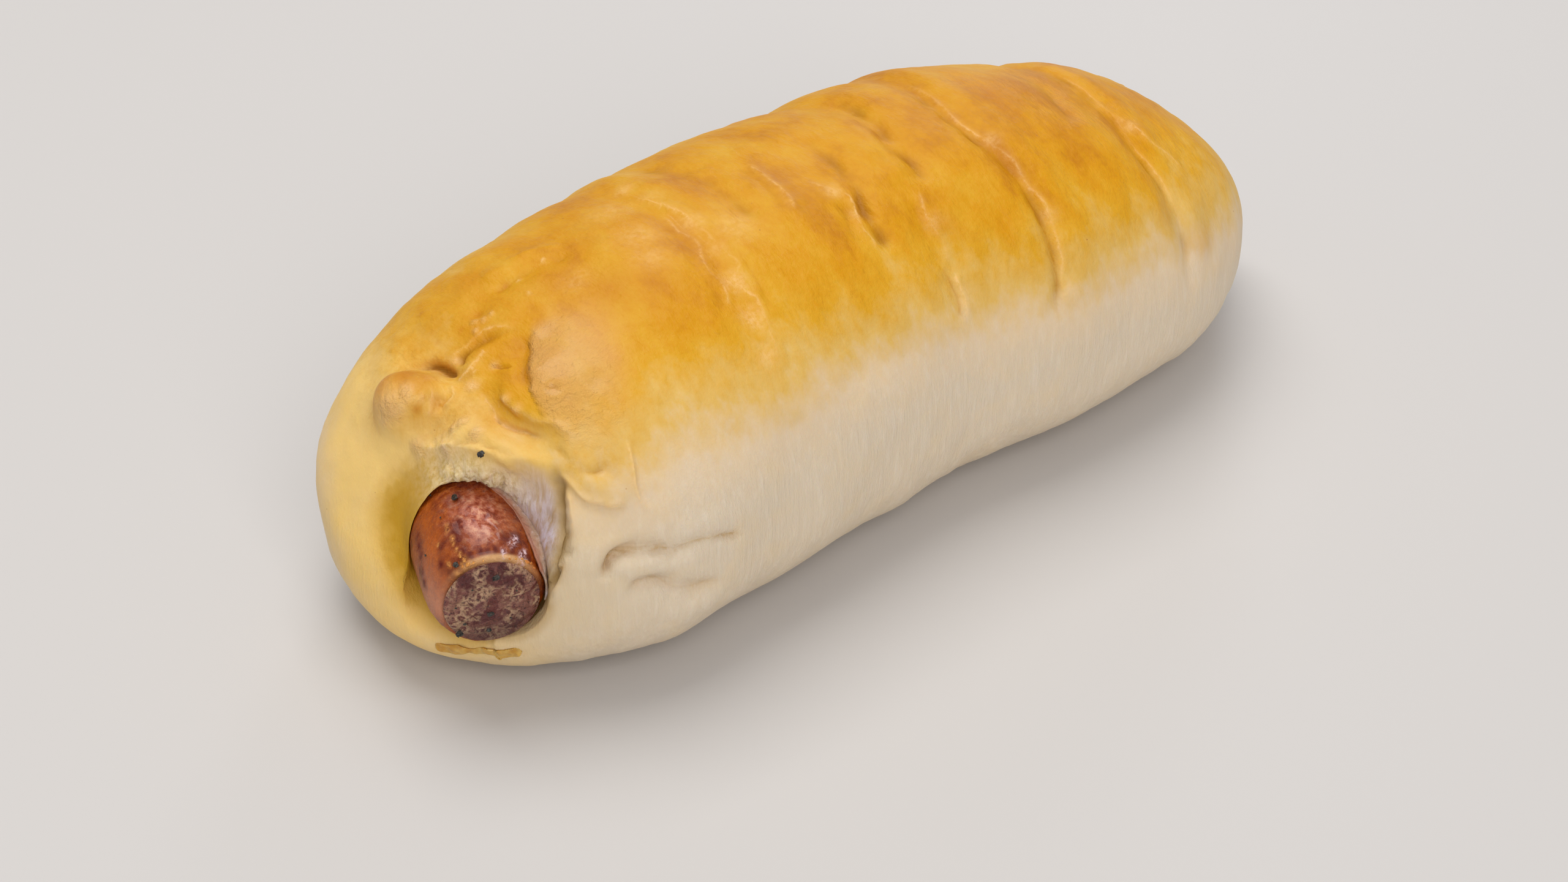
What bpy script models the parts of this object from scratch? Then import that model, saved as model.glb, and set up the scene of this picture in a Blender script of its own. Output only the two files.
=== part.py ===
"""Sausage kolache: a soft wheat bun wrapped round a smoked link, resting on its flat base.

The bun lies along X with its open end at -X. Seen from that end, left is +Y and right is -Y.
Sizes are in millimetres, and the meshes are made in metres.
"""

import math

import bmesh
import bpy
from mathutils import Vector

MM = 0.001

# Bun, the plan and height at stations along it
BUN_LENGTH = 166.0
BUN_STATIONS = (
    # place, half width on the left, half width on the right, height
    (-83.0, 37.0, 33.5, 54.5),
    (-55.5, 31.5, 35.5, 51.5),
    (-27.5, 33.0, 32.5, 51.5),
    (0.0, 34.0, 30.5, 51.0),
    (27.5, 32.0, 32.5, 50.0),
    (55.5, 28.0, 32.5, 46.5),
    (83.0, 32.0, 26.5, 46.5),
)
NEAR = -1
FAR = 1
END_BLUNTNESS = {NEAR: 4.55, FAR: 4.2}

# Bun, its cross-section as shares of the height and as exponents
WIDEST_LEVEL = 0.43
NOSE_DROP = 0.4
UPPER_ROUNDNESS = 2.13
LOWER_ROUNDNESS = 2.85
BASE_PRESS = 1.05
SHOULDER_RISE = 1.6
SHOULDER_FALL = 0.75
SPINE_LEVEL = 22.0

# Bun, the layout of its mesh
SIDES = 56
TOP_CROWDING = 0.28
BODY_START = -50.0
BODY_END = 56.0
BODY_RINGS = 41
LIP_RINGS = 7
EDGE_STEP = 0.04
CHANNEL_STRAIGHT_RINGS = 5
CHANNEL_CURL_RINGS = 4
CHANNEL_START = 2.0
SHARP_ANGLE = math.radians(50.0)

# Mouths, each a squarish ring on the end seen flat. Its middle, radii and slant are shares of the
# half width and height. In mm, its lip rolls in, comes back out along the link by the throat, and
# closes round the link at a distance from the tip
MOUTHS = {
    NEAR: {
        "middle": (-0.49, 0.13), "slant": 0.22, "squareness": {"top": 3.4, "bottom": 2.2},
        "radii": {"left": 0.28, "top": 0.505, "right": 0.285, "bottom": 0.395},
        "roll": {"left": 3.0, "top": 2.2, "right": 1.8, "bottom": 2.0},
        "throat": {"left": 2.0, "top": 1.0, "right": 1.5, "bottom": 1.5},
        "throat_at": {"left": 18.0, "top": 14.0, "right": 7.0, "bottom": 6.0},
        "rings": 24, "crowding": 1.35,
    },
    FAR: {
        "middle": (0.13, 0.17), "slant": 0.0, "squareness": {"top": 2.0, "bottom": 2.0},
        "radii": {"left": 0.36, "top": 0.40, "right": 0.36, "bottom": 0.42},
        "roll": {"left": 3.0, "top": 1.6, "right": 3.0, "bottom": 2.5},
        "throat": {"left": 2.0, "top": 1.2, "right": 2.0, "bottom": 2.0},
        "throat_at": {"left": 8.0, "top": 7.0, "right": 8.0, "bottom": 7.5},
        "rings": 11, "crowding": 1.35,
    },
}

# Link, a straight run that curls to the right behind the near mouth
LINK_RADIUS = 8.6
LINK_CUT_RADIUS = 6.9
LINK_TAPER = 6.5
LINK_GAP = 0.4
LINK_CLEARING = 1.2
LINK_SIDES = 32
LINK_STEPS = 60
LINK_TIP_RINGS = (0.0, 0.1, 0.3, 0.6, 1.0)
LINK_NECK_RINGS = (1.7, 2.5)
LINK_SHIFT = 4.5
LINK_LEVEL = 25.0
LINK_FAR_TIP = 77.5
LINK_FAR_DROP = 8.5
LINK_FAR_DROP_RUN = 50.0
LINK_NEAR_DROP = 4.6
CURL_START = -44.9
CURL_RADIUS = 30.0
CURL_ANGLE = math.radians(67.0)
CURL_TIP = 8.4

# Dough turns: place on the crown, lean toward the near end per radian down the side,
# depth and half width of the furrow, height of the edge beside it, reach from and to in degrees
TURNS = (
    (-27.5, 3.0, 0.8, 2.6, 0.25, -70.0, 50.0),
    (-19.0, 1.0, 0.5, 3.2, 0.0, -50.0, 30.0),
    (-4.6, 0.6, 0.6, 1.8, 0.3, 8.0, 42.0),
    (11.2, 3.5, 0.9, 2.4, 0.2, -70.0, 34.0),
    (4.8, 0.6, 0.7, 1.8, 0.4, 30.0, 66.0),
    (23.6, 0.5, 1.1, 1.8, 0.5, -75.0, 74.0),
    (43.0, 4.0, 0.7, 3.0, 0.0, -40.0, 34.0),
    (47.3, -0.5, 0.9, 2.6, 0.3, -75.0, 92.0),
)
TURN_FADE = 14.0
TURN_EDGE = 1.6

# Slow swell of the whole skin, and the height below which all relief fades to the base
SWELL_HEIGHT = 0.35
SWELL_ALONG = 30.0
SWELL_ACROSS = 48.0
FOOT_FADE = 8.0

# Swellings on the near end: middle, radii along, across and up, and height
SWELLINGS = (
    ((-71.5, 3.5, 37.5), (4.6, 5.4, 4.4), 2.7),
    ((-58.0, -14.0, 44.0), (9.0, 9.0, 8.0), 0.7),
    ((-71.5, -3.5, 37.5), (3.5, 3.5, 4.0), -0.9),
    ((-63.5, 3.0, 44.0), (3.5, 5.0, 3.0), -0.6),
)

# Creases and ridges: depth, which is below nothing for a ridge, half width, and the route
CREASE_TAPER = 0.25
CREASE_ENDS = 0.35
CREASES = (
    (1.7, 1.8, ((-68.6, 7.5, 39.2), (-67.6, 4.0, 40.8), (-66.6, 0.4, 41.7), (-66.2, -2.4, 41.8))),
    (-0.9, 1.6, ((-66.3, -2.6, 41.9), (-63.0, -2.3, 44.0), (-60.5, -2.0, 45.4))),
    (1.2, 2.0, ((-65.0, -4.2, 42.6), (-61.0, -5.6, 44.8), (-55.4, -6.9, 46.9))),
    (1.7, 1.9, ((-65.5, -7.0, 42.0), (-66.4, -11.0, 40.5), (-65.8, -14.2, 40.0), (-63.9, -18.3, 39.4))),
    (-1.1, 1.9, ((-70.8, -9.0, 37.4), (-68.8, -12.2, 38.2), (-67.3, -16.2, 37.6), (-66.2, -20.0, 36.2))),
    (-0.9, 1.9, ((-62.4, -20.2, 39.3), (-61.6, -25.2, 35.9), (-59.2, -28.2, 33.6), (-55.4, -26.4, 38.4))),
    (1.3, 1.7, ((-63.2, -30.0, 26.4), (-60.2, -30.9, 27.3), (-56.5, -32.2, 27.0), (-49.9, -33.6, 25.0))),
    (0.7, 1.9, ((-59.0, -32.2, 19.6), (-54.0, -33.2, 18.4), (-49.5, -33.6, 16.7))),
    (0.9, 1.6, ((-60.7, 2.0, 45.2), (-56.4, 6.6, 46.2), (-52.0, 5.6, 47.9), (-43.7, 4.2, 49.6))),
)


def smooth_step(value):
    """Ease from 0 to 1."""
    value = min(max(value, 0.0), 1.0)
    return value * value * (3.0 - 2.0 * value)


def bell(value):
    """Fall smoothly from 1 at nought."""
    return math.exp(-value * value)


def signed_power(value, power):
    """Raise the size of a number and keep its sign."""
    return math.copysign(abs(value) ** power, value)


def bun_sizes(x):
    """Left and right half width and height at a place, by a smooth curve through the stations."""
    places = [station[0] for station in BUN_STATIONS]
    step = places[1] - places[0]
    index = min(max(int((x - places[0]) / step), 0), len(places) - 2)
    share = min(max((x - places[index]) / (places[index + 1] - places[index]), 0.0), 1.0)
    around = [min(max(index + offset, 0), len(places) - 1) for offset in (-1, 0, 1, 2)]
    sizes = []
    for column in (1, 2, 3):
        a, b, c, d = (BUN_STATIONS[i][column] for i in around)
        curve = 2 * b + (c - a) * share + (2 * a - 5 * b + 4 * c - d) * share ** 2
        curve += (3 * b - a - 3 * c + d) * share ** 3
        sizes.append(curve / 2)
    return sizes


def skin(end, across, up):
    """Point on the plain skin of one half, from its place on the end seen flat."""
    reach = min(math.hypot(across, up), 1.0)
    angle = math.atan2(up, across)
    x = end * BUN_LENGTH / 2 * (1.0 - reach ** 2) ** (1.0 / END_BLUNTNESS[end])
    left, right, height = bun_sizes(x)
    level = WIDEST_LEVEL * height * (1.0 - NOSE_DROP * (1.0 - reach))
    half_width = left if across > 0 else right
    if up >= 0:
        rise = (1.0 - WIDEST_LEVEL) * height * reach ** SHOULDER_RISE
        roundness = UPPER_ROUNDNESS
    else:
        rise = WIDEST_LEVEL * BASE_PRESS * height * reach ** SHOULDER_FALL
        roundness = LOWER_ROUNDNESS
    y = half_width * reach * signed_power(math.cos(angle), 2.0 / roundness)
    z = level + rise * signed_power(math.sin(angle), 2.0 / roundness)
    return Vector((x, y, z))


def reach_at(x):
    """How far out the skin stands at a place, as a share of its full reach."""
    end = NEAR if x < 0 else FAR
    return math.sqrt(1.0 - abs(2.0 * x / BUN_LENGTH) ** END_BLUNTNESS[end])


def side_angles():
    """Angles round the bun from the left side over the top, closer together on top."""
    angles = []
    for index in range(SIDES):
        turn = 2.0 * math.pi * index / SIDES
        angles.append(turn + TOP_CROWDING * math.cos(turn))
    return angles


def body_ring(x, angles):
    """Ring of the body at one place."""
    end = NEAR if x < 0 else FAR
    reach = reach_at(x)
    return [skin(end, reach * math.cos(angle), reach * math.sin(angle)) for angle in angles]


def mouth_ring(end, share, angles):
    """Ring on the end, between the body at 0 and the edge of its mouth at 1."""
    mouth = MOUTHS[end]
    start = reach_at(BODY_START if end == NEAR else BODY_END)
    radii = mouth["radii"]
    ring = []
    for angle in angles:
        wide = radii["left"] if math.cos(angle) > 0 else radii["right"]
        upright = "top" if math.sin(angle) > 0 else "bottom"
        tall = radii[upright]
        power = 2.0 / (2.0 + (mouth["squareness"][upright] - 2.0) * share ** 2)
        wide = (1.0 - share) * start + share * wide
        tall = (1.0 - share) * start + share * tall
        up = tall * signed_power(math.sin(angle), power)
        across = wide * signed_power(math.cos(angle), power) + share * mouth["slant"] * max(up, 0.0)
        across += share * mouth["middle"][0]
        up += share * mouth["middle"][1]
        ring.append(skin(end, across, up))
    return ring


def link_place(distance):
    """Middle of the link and the way it runs, at a distance from the far tip."""
    run = LINK_FAR_TIP - CURL_START
    heading = min(max((distance - run) / CURL_RADIUS, 0.0), CURL_ANGLE)
    tip = max(distance - run - CURL_RADIUS * CURL_ANGLE, 0.0)
    x = LINK_FAR_TIP - min(distance, run)
    x -= CURL_RADIUS * math.sin(heading) + tip * math.cos(heading)
    y = LINK_SHIFT - CURL_RADIUS * (1.0 - math.cos(heading)) - tip * math.sin(heading)
    near_share = max(distance - run, 0.0) / (link_length() - run)
    far_share = max(1.0 - distance / LINK_FAR_DROP_RUN, 0.0)
    z = LINK_LEVEL - LINK_NEAR_DROP * near_share ** 2 - LINK_FAR_DROP * far_share ** 2
    return Vector((x, y, z)), heading


def link_length():
    """Length of the link along its middle."""
    return LINK_FAR_TIP - CURL_START + CURL_RADIUS * CURL_ANGLE + CURL_TIP


def link_radius(distance, deeper=0.0):
    """Radius of the link, rounded in to the cut at each tip, or a little deeper in."""
    from_tip = min(distance, link_length() - distance) + deeper
    share = min(max(from_tip / LINK_TAPER, 0.0), 1.0)
    return LINK_CUT_RADIUS + (LINK_RADIUS - LINK_CUT_RADIUS) * math.sqrt(share * (2.0 - share))


def link_ring(distance, radius, angles):
    """Ring square to the link."""
    spot, heading = link_place(distance)
    leftward = Vector((-math.sin(heading), math.cos(heading), 0.0))
    upward = Vector((0.0, 0.0, 1.0))
    return [spot + radius * (math.cos(a) * leftward + math.sin(a) * upward) for a in angles]


def by_side(sizes, angle):
    """Read a size that differs left, top, right and bottom at an angle."""
    across, up = math.cos(angle), math.sin(angle)
    level = sizes["left"] if across > 0 else sizes["right"]
    upright = sizes["top"] if up > 0 else sizes["bottom"]
    return level * across ** 2 + upright * up ** 2


def bezier(points, share):
    """Point on the curve of four control points."""
    a, b, c, d = points
    rest = 1.0 - share
    return a * rest ** 3 + b * 3 * rest ** 2 * share + c * 3 * rest * share ** 2 + d * share ** 3


def clear_of_link(point):
    """Move a point of the dough out to its gap from the link."""
    step = link_length() / LINK_STEPS
    coarse = [step * index for index in range(LINK_STEPS + 1)]
    nearest = min(coarse, key=lambda distance: (point - link_place(distance)[0]).length)
    fine = [nearest + step * (2.0 * index / LINK_STEPS - 1.0) for index in range(LINK_STEPS + 1)]
    fine = [min(max(distance, 0.0), link_length()) for distance in fine]
    nearest = min(fine, key=lambda distance: (point - link_place(distance)[0]).length)
    spot = link_place(nearest)[0]
    needed = link_radius(nearest, LINK_CLEARING) + LINK_GAP
    away = point - spot
    if away.length < needed:
        return spot + away.normalized() * needed
    return point


def throat(end, angle):
    """Where the dough closes round the link at an angle, and the way out of the bun there."""
    distance = by_side(MOUTHS[end]["throat_at"], angle)
    if end == NEAR:
        distance = link_length() - distance
    heading = link_place(distance)[1]
    outward = Vector((math.cos(heading), math.sin(heading), 0.0)) * end
    return link_ring(distance, link_radius(distance) + LINK_GAP, [angle])[0], outward


def lip_rings(end, angles):
    """Rings of the lip, from the edge of the mouth to where the dough closes round the link."""
    mouth = MOUTHS[end]
    before = mouth_ring(end, 1.0 - EDGE_STEP, angles)
    edge = mouth_ring(end, 1.0, angles)
    rings = []
    for index in range(1, LIP_RINGS + 1):
        share = index / LIP_RINGS
        ring = []
        for side, angle in enumerate(angles):
            along = (edge[side] - before[side]).normalized()
            closed, outward = throat(end, angle)
            controls = (
                edge[side],
                edge[side] + along * by_side(mouth["roll"], angle),
                closed + outward * by_side(mouth["throat"], angle),
                closed,
            )
            ring.append(clear_of_link(bezier(controls, share)))
        rings.append(ring)
    return rings


def channel_stations():
    """Distances along the link of the rings that line the channel, from far to near."""
    start = max(MOUTHS[FAR]["throat_at"].values()) + CHANNEL_START
    stop = link_length() - max(MOUTHS[NEAR]["throat_at"].values()) - CHANNEL_START
    bend = LINK_FAR_TIP - CURL_START
    straight = [(bend - start) * index / CHANNEL_STRAIGHT_RINGS for index in range(CHANNEL_STRAIGHT_RINGS)]
    curl = [(stop - bend) * index / CHANNEL_CURL_RINGS for index in range(CHANNEL_CURL_RINGS + 1)]
    return [start + run for run in straight] + [bend + run for run in curl]


def route_gap(point, route):
    """Distance from a point to a route, and how far along the route it is, from 0 to 1."""
    best = None
    for index in range(len(route) - 1):
        start, stop = Vector(route[index]), Vector(route[index + 1])
        run = stop - start
        share = min(max((point - start).dot(run) / run.length_squared, 0.0), 1.0)
        gap = (point - start - run * share).length
        if best is None or gap < best[0]:
            best = (gap, (index + share) / (len(route) - 1))
    return best


def relief(point):
    """Height of the dough's relief above its plain skin."""
    turn = math.degrees(math.atan2(-point.y, point.z - SPINE_LEVEL))
    height = 0.0
    for place, lean, depth, width, edge, first, last in TURNS:
        fade = smooth_step((turn - first) / TURN_FADE) * smooth_step((last - turn) / TURN_FADE)
        off = (point.x - place + lean * math.radians(abs(turn))) / width
        height += fade * (edge * bell(off - TURN_EDGE) - depth * bell(off))
    for middle, radii, rise in SWELLINGS:
        off = [(point[axis] - middle[axis]) / radii[axis] for axis in range(3)]
        height += rise * bell(Vector(off).length)
    for depth, width, route in CREASES:
        gap, share = route_gap(point, route)
        fade = smooth_step(share / CREASE_TAPER) * smooth_step((1.0 - share) / CREASE_TAPER)
        height -= depth * (CREASE_ENDS + (1.0 - CREASE_ENDS) * fade) * bell(gap / width)
    along, across = 2.0 * math.pi * point.x / SWELL_ALONG, 2.0 * math.pi * point.y / SWELL_ACROSS
    height += SWELL_HEIGHT * math.sin(along) * math.cos(across + along / 4.0)
    return height * smooth_step(point.z / FOOT_FADE)


def outward_normals(rings):
    """Outward directions of the skin on a run of rings."""
    normals = []
    for index, ring in enumerate(rings):
        before, after = rings[max(index - 1, 0)], rings[min(index + 1, len(rings) - 1)]
        row = []
        for side in range(SIDES):
            along = after[side] - before[side]
            around = ring[(side + 1) % SIDES] - ring[side - 1]
            row.append(around.cross(along).normalized())
        normals.append(row)
    return normals


def bun_rings():
    """All rings of the bun, closed on themselves through the channel."""
    angles = side_angles()
    near, far = MOUTHS[NEAR], MOUTHS[FAR]
    skin_rings = []
    for index in range(near["rings"], 0, -1):
        share = (index / near["rings"]) ** near["crowding"]
        skin_rings.append(mouth_ring(NEAR, share, angles))
    for index in range(BODY_RINGS):
        x = BODY_START + (BODY_END - BODY_START) * index / (BODY_RINGS - 1)
        skin_rings.append(body_ring(x, angles))
    for index in range(1, far["rings"] + 1):
        share = (index / far["rings"]) ** far["crowding"]
        skin_rings.append(mouth_ring(FAR, share, angles))
    normals = outward_normals(skin_rings)
    for ring, row in zip(skin_rings, normals):
        for side in range(SIDES):
            ring[side] = ring[side] + row[side] * relief(ring[side])
    channel = []
    for distance in channel_stations():
        channel.append(link_ring(distance, link_radius(distance) + LINK_GAP, angles))
    near_lip = lip_rings(NEAR, angles)
    near_lip.reverse()
    rings = skin_rings + lip_rings(FAR, angles) + channel + near_lip
    for ring in rings:
        for point in ring:
            point.z = max(point.z, 0.0)
    return rings


def material(name, color, roughness, subsurface):
    """Plain material of one finish."""
    finish = bpy.data.materials.new(name)
    finish.use_nodes = True
    shader = finish.node_tree.nodes["Principled BSDF"]
    shader.inputs["Base Color"].default_value = (*color, 1.0)
    shader.inputs["Roughness"].default_value = roughness
    shader.inputs["Metallic"].default_value = 0.0
    shader.inputs["Subsurface Weight"].default_value = subsurface
    finish.diffuse_color = (*color, 1.0)
    return finish


def add_object(name, shape, finish):
    """Turn a finished shape into an object of the scene."""
    bmesh.ops.recalc_face_normals(shape, faces=shape.faces)
    bmesh.ops.triangulate(shape, faces=shape.faces)
    mesh = bpy.data.meshes.new(name)
    shape.to_mesh(mesh)
    shape.free()
    mesh.materials.append(finish)
    mesh.shade_smooth()
    mesh.set_sharp_from_angle(angle=SHARP_ANGLE)
    bpy.context.scene.collection.objects.link(bpy.data.objects.new(name, mesh))


def bridge(shape, rings, closed):
    """Join each ring of points to the next with four-sided faces."""
    rows = [[shape.verts.new(point * MM) for point in ring] for ring in rings]
    last = len(rows) if closed else len(rows) - 1
    for index in range(last):
        row, following = rows[index], rows[(index + 1) % len(rows)]
        for side in range(len(row)):
            beside = (side + 1) % len(row)
            shape.faces.new((row[side], row[beside], following[beside], following[side]))
    return rows


def build_bun():
    """Dough with its relief and the channel that the link lies in."""
    shape = bmesh.new()
    bridge(shape, bun_rings(), closed=True)
    add_object("bun", shape, material("golden_crust", (0.68, 0.36, 0.09), 0.42, 0.1))


def build_sausage():
    """Smoked link from tip to tip, cut flat at both."""
    angles = [2.0 * math.pi * index / LINK_SIDES for index in range(LINK_SIDES)]
    length = link_length()
    far = [LINK_TAPER * share for share in LINK_TIP_RINGS]
    near = [length - LINK_TAPER * share for share in LINK_TIP_RINGS + LINK_NECK_RINGS]
    distances = far + channel_stations() + near[::-1]
    rings = [link_ring(distance, link_radius(distance), angles) for distance in distances]
    shape = bmesh.new()
    rows = bridge(shape, rings, closed=False)
    for row in (rows[0], rows[-1]):
        shape.faces.new(row)
    add_object("sausage", shape, material("smoked_casing", (0.30, 0.09, 0.04), 0.35, 0.05))


def main():
    """Clear the scene and build the kolache."""
    for leftover in list(bpy.data.objects):
        bpy.data.objects.remove(leftover, do_unlink=True)
    build_bun()
    build_sausage()


main()
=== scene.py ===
"""Looks of the sausage kolache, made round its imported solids.

The bun lies along X with its open end at -X. Seen from that end, left is +Y and right is -Y.
Lengths in this file are in millimetres, and the meshes are in metres.
"""

import math

import bpy
import numpy as np
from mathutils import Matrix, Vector, noise


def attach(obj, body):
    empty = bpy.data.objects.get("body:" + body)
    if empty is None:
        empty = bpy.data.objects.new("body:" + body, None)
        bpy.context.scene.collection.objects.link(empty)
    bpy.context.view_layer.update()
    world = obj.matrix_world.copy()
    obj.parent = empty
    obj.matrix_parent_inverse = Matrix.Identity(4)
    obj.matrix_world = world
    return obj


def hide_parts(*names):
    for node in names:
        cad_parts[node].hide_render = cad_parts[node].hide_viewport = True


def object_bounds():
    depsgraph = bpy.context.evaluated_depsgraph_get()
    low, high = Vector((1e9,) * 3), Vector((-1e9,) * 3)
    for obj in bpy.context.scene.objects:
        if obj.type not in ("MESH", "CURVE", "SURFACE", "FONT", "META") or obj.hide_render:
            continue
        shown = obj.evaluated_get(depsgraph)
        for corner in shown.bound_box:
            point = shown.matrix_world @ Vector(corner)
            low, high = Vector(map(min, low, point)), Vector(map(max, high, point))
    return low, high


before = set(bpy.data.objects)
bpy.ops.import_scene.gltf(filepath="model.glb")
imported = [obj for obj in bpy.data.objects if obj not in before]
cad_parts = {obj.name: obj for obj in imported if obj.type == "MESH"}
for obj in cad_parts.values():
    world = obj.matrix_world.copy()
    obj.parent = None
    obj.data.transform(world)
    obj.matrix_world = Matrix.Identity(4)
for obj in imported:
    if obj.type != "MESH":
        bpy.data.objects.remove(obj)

SOLID_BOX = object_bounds()
MM = 0.001
MERGE_GAP = 0.00001
UP = np.array((0.0, 0.0, 1.0))

# Camera and studio, in metres and degrees
CAMERA_PLACE = Vector((-0.24536, -0.28257, 0.27774))
CAMERA_HEADING = 49.86
CAMERA_PITCH = 36.72
CAMERA_LENS = 69.47
LIT_SPOT = Vector((0.0, 0.0, 0.02))
FLOOR_WIDTH = 6.0
FLOOR_TONE = (202, 198, 195)
LIGHTS = (
    # name, heading and height it comes from, distance, width, power, colour
    ("overhead", 80.0, 74.0, 1.2, 0.9, 9.0, (1.0, 0.98, 0.95)),
    ("window", 40.0, 20.0, 1.1, 0.25, 1.0, (0.85, 0.9, 1.0)),
    ("front", -115.0, 38.0, 2.4, 1.6, 26.5, (1.0, 0.98, 0.96)),
)
SKY = (0.95, 0.97, 1.0)
SKY_STRENGTH = 0.43

# Crust, its mesh and the height where brown turns to cream at places along it
CRUST_LEVELS = 2
SPINE_LEVEL = 22.0
BROWN_EDGE = (
    (-83, 40), (-74, 36.8), (-66, 37.5), (-60, 37), (-55, 39.2), (-50, 40.4), (-41, 39.2), (-29, 39.2),
    (-16, 39.2), (0, 37.1), (27, 34.8), (43, 32.8), (57, 30), (70, 26.5), (83, 17),
)
BROWN_FADE = 9.2
BROWN_STEP = 0.35
BAKE_KNEE = 0.72
BAKE_ROOM = 0.18

# On the near end's left the border is lower and softer
LEFT_EDGE_DROP = 4.8
LEFT_FADE = 5.0
LEFT_RUN = (-46.0, -12.0)
LEFT_SIDE = (-10.0, 12.0)

# Skin of the bun: where it starts by the link and over the foot, and a degree's run round it
SKIN_BAND = (0.7, 2.5)
FOOT_HEIGHT = 1.0
FOOT_FADE = 5.0
DEGREE_RUN = 0.5

# How marks are pressed: their wander, the place of their sides, their pinch, ends and lines
WIGGLE = 0.35
MARK_STRENGTH = (0.85, 0.9)
MARK_LIMITS = (0.2, 1.3)
MARK_REACH = 5.0
RIM_OFFSET = 1.9
RIM_SPREAD = 1.4
PINCH = 0.35
PINCH_SPREAD = 1.5
MARK_TAPER = 0.14
LINE_REACH = 3.0
LINE_FADE = 1.0
ROUTE_STEPS = 5
# Depth past which painted shade darkens the creases
CREASE_SHADE_START = 0.15

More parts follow.
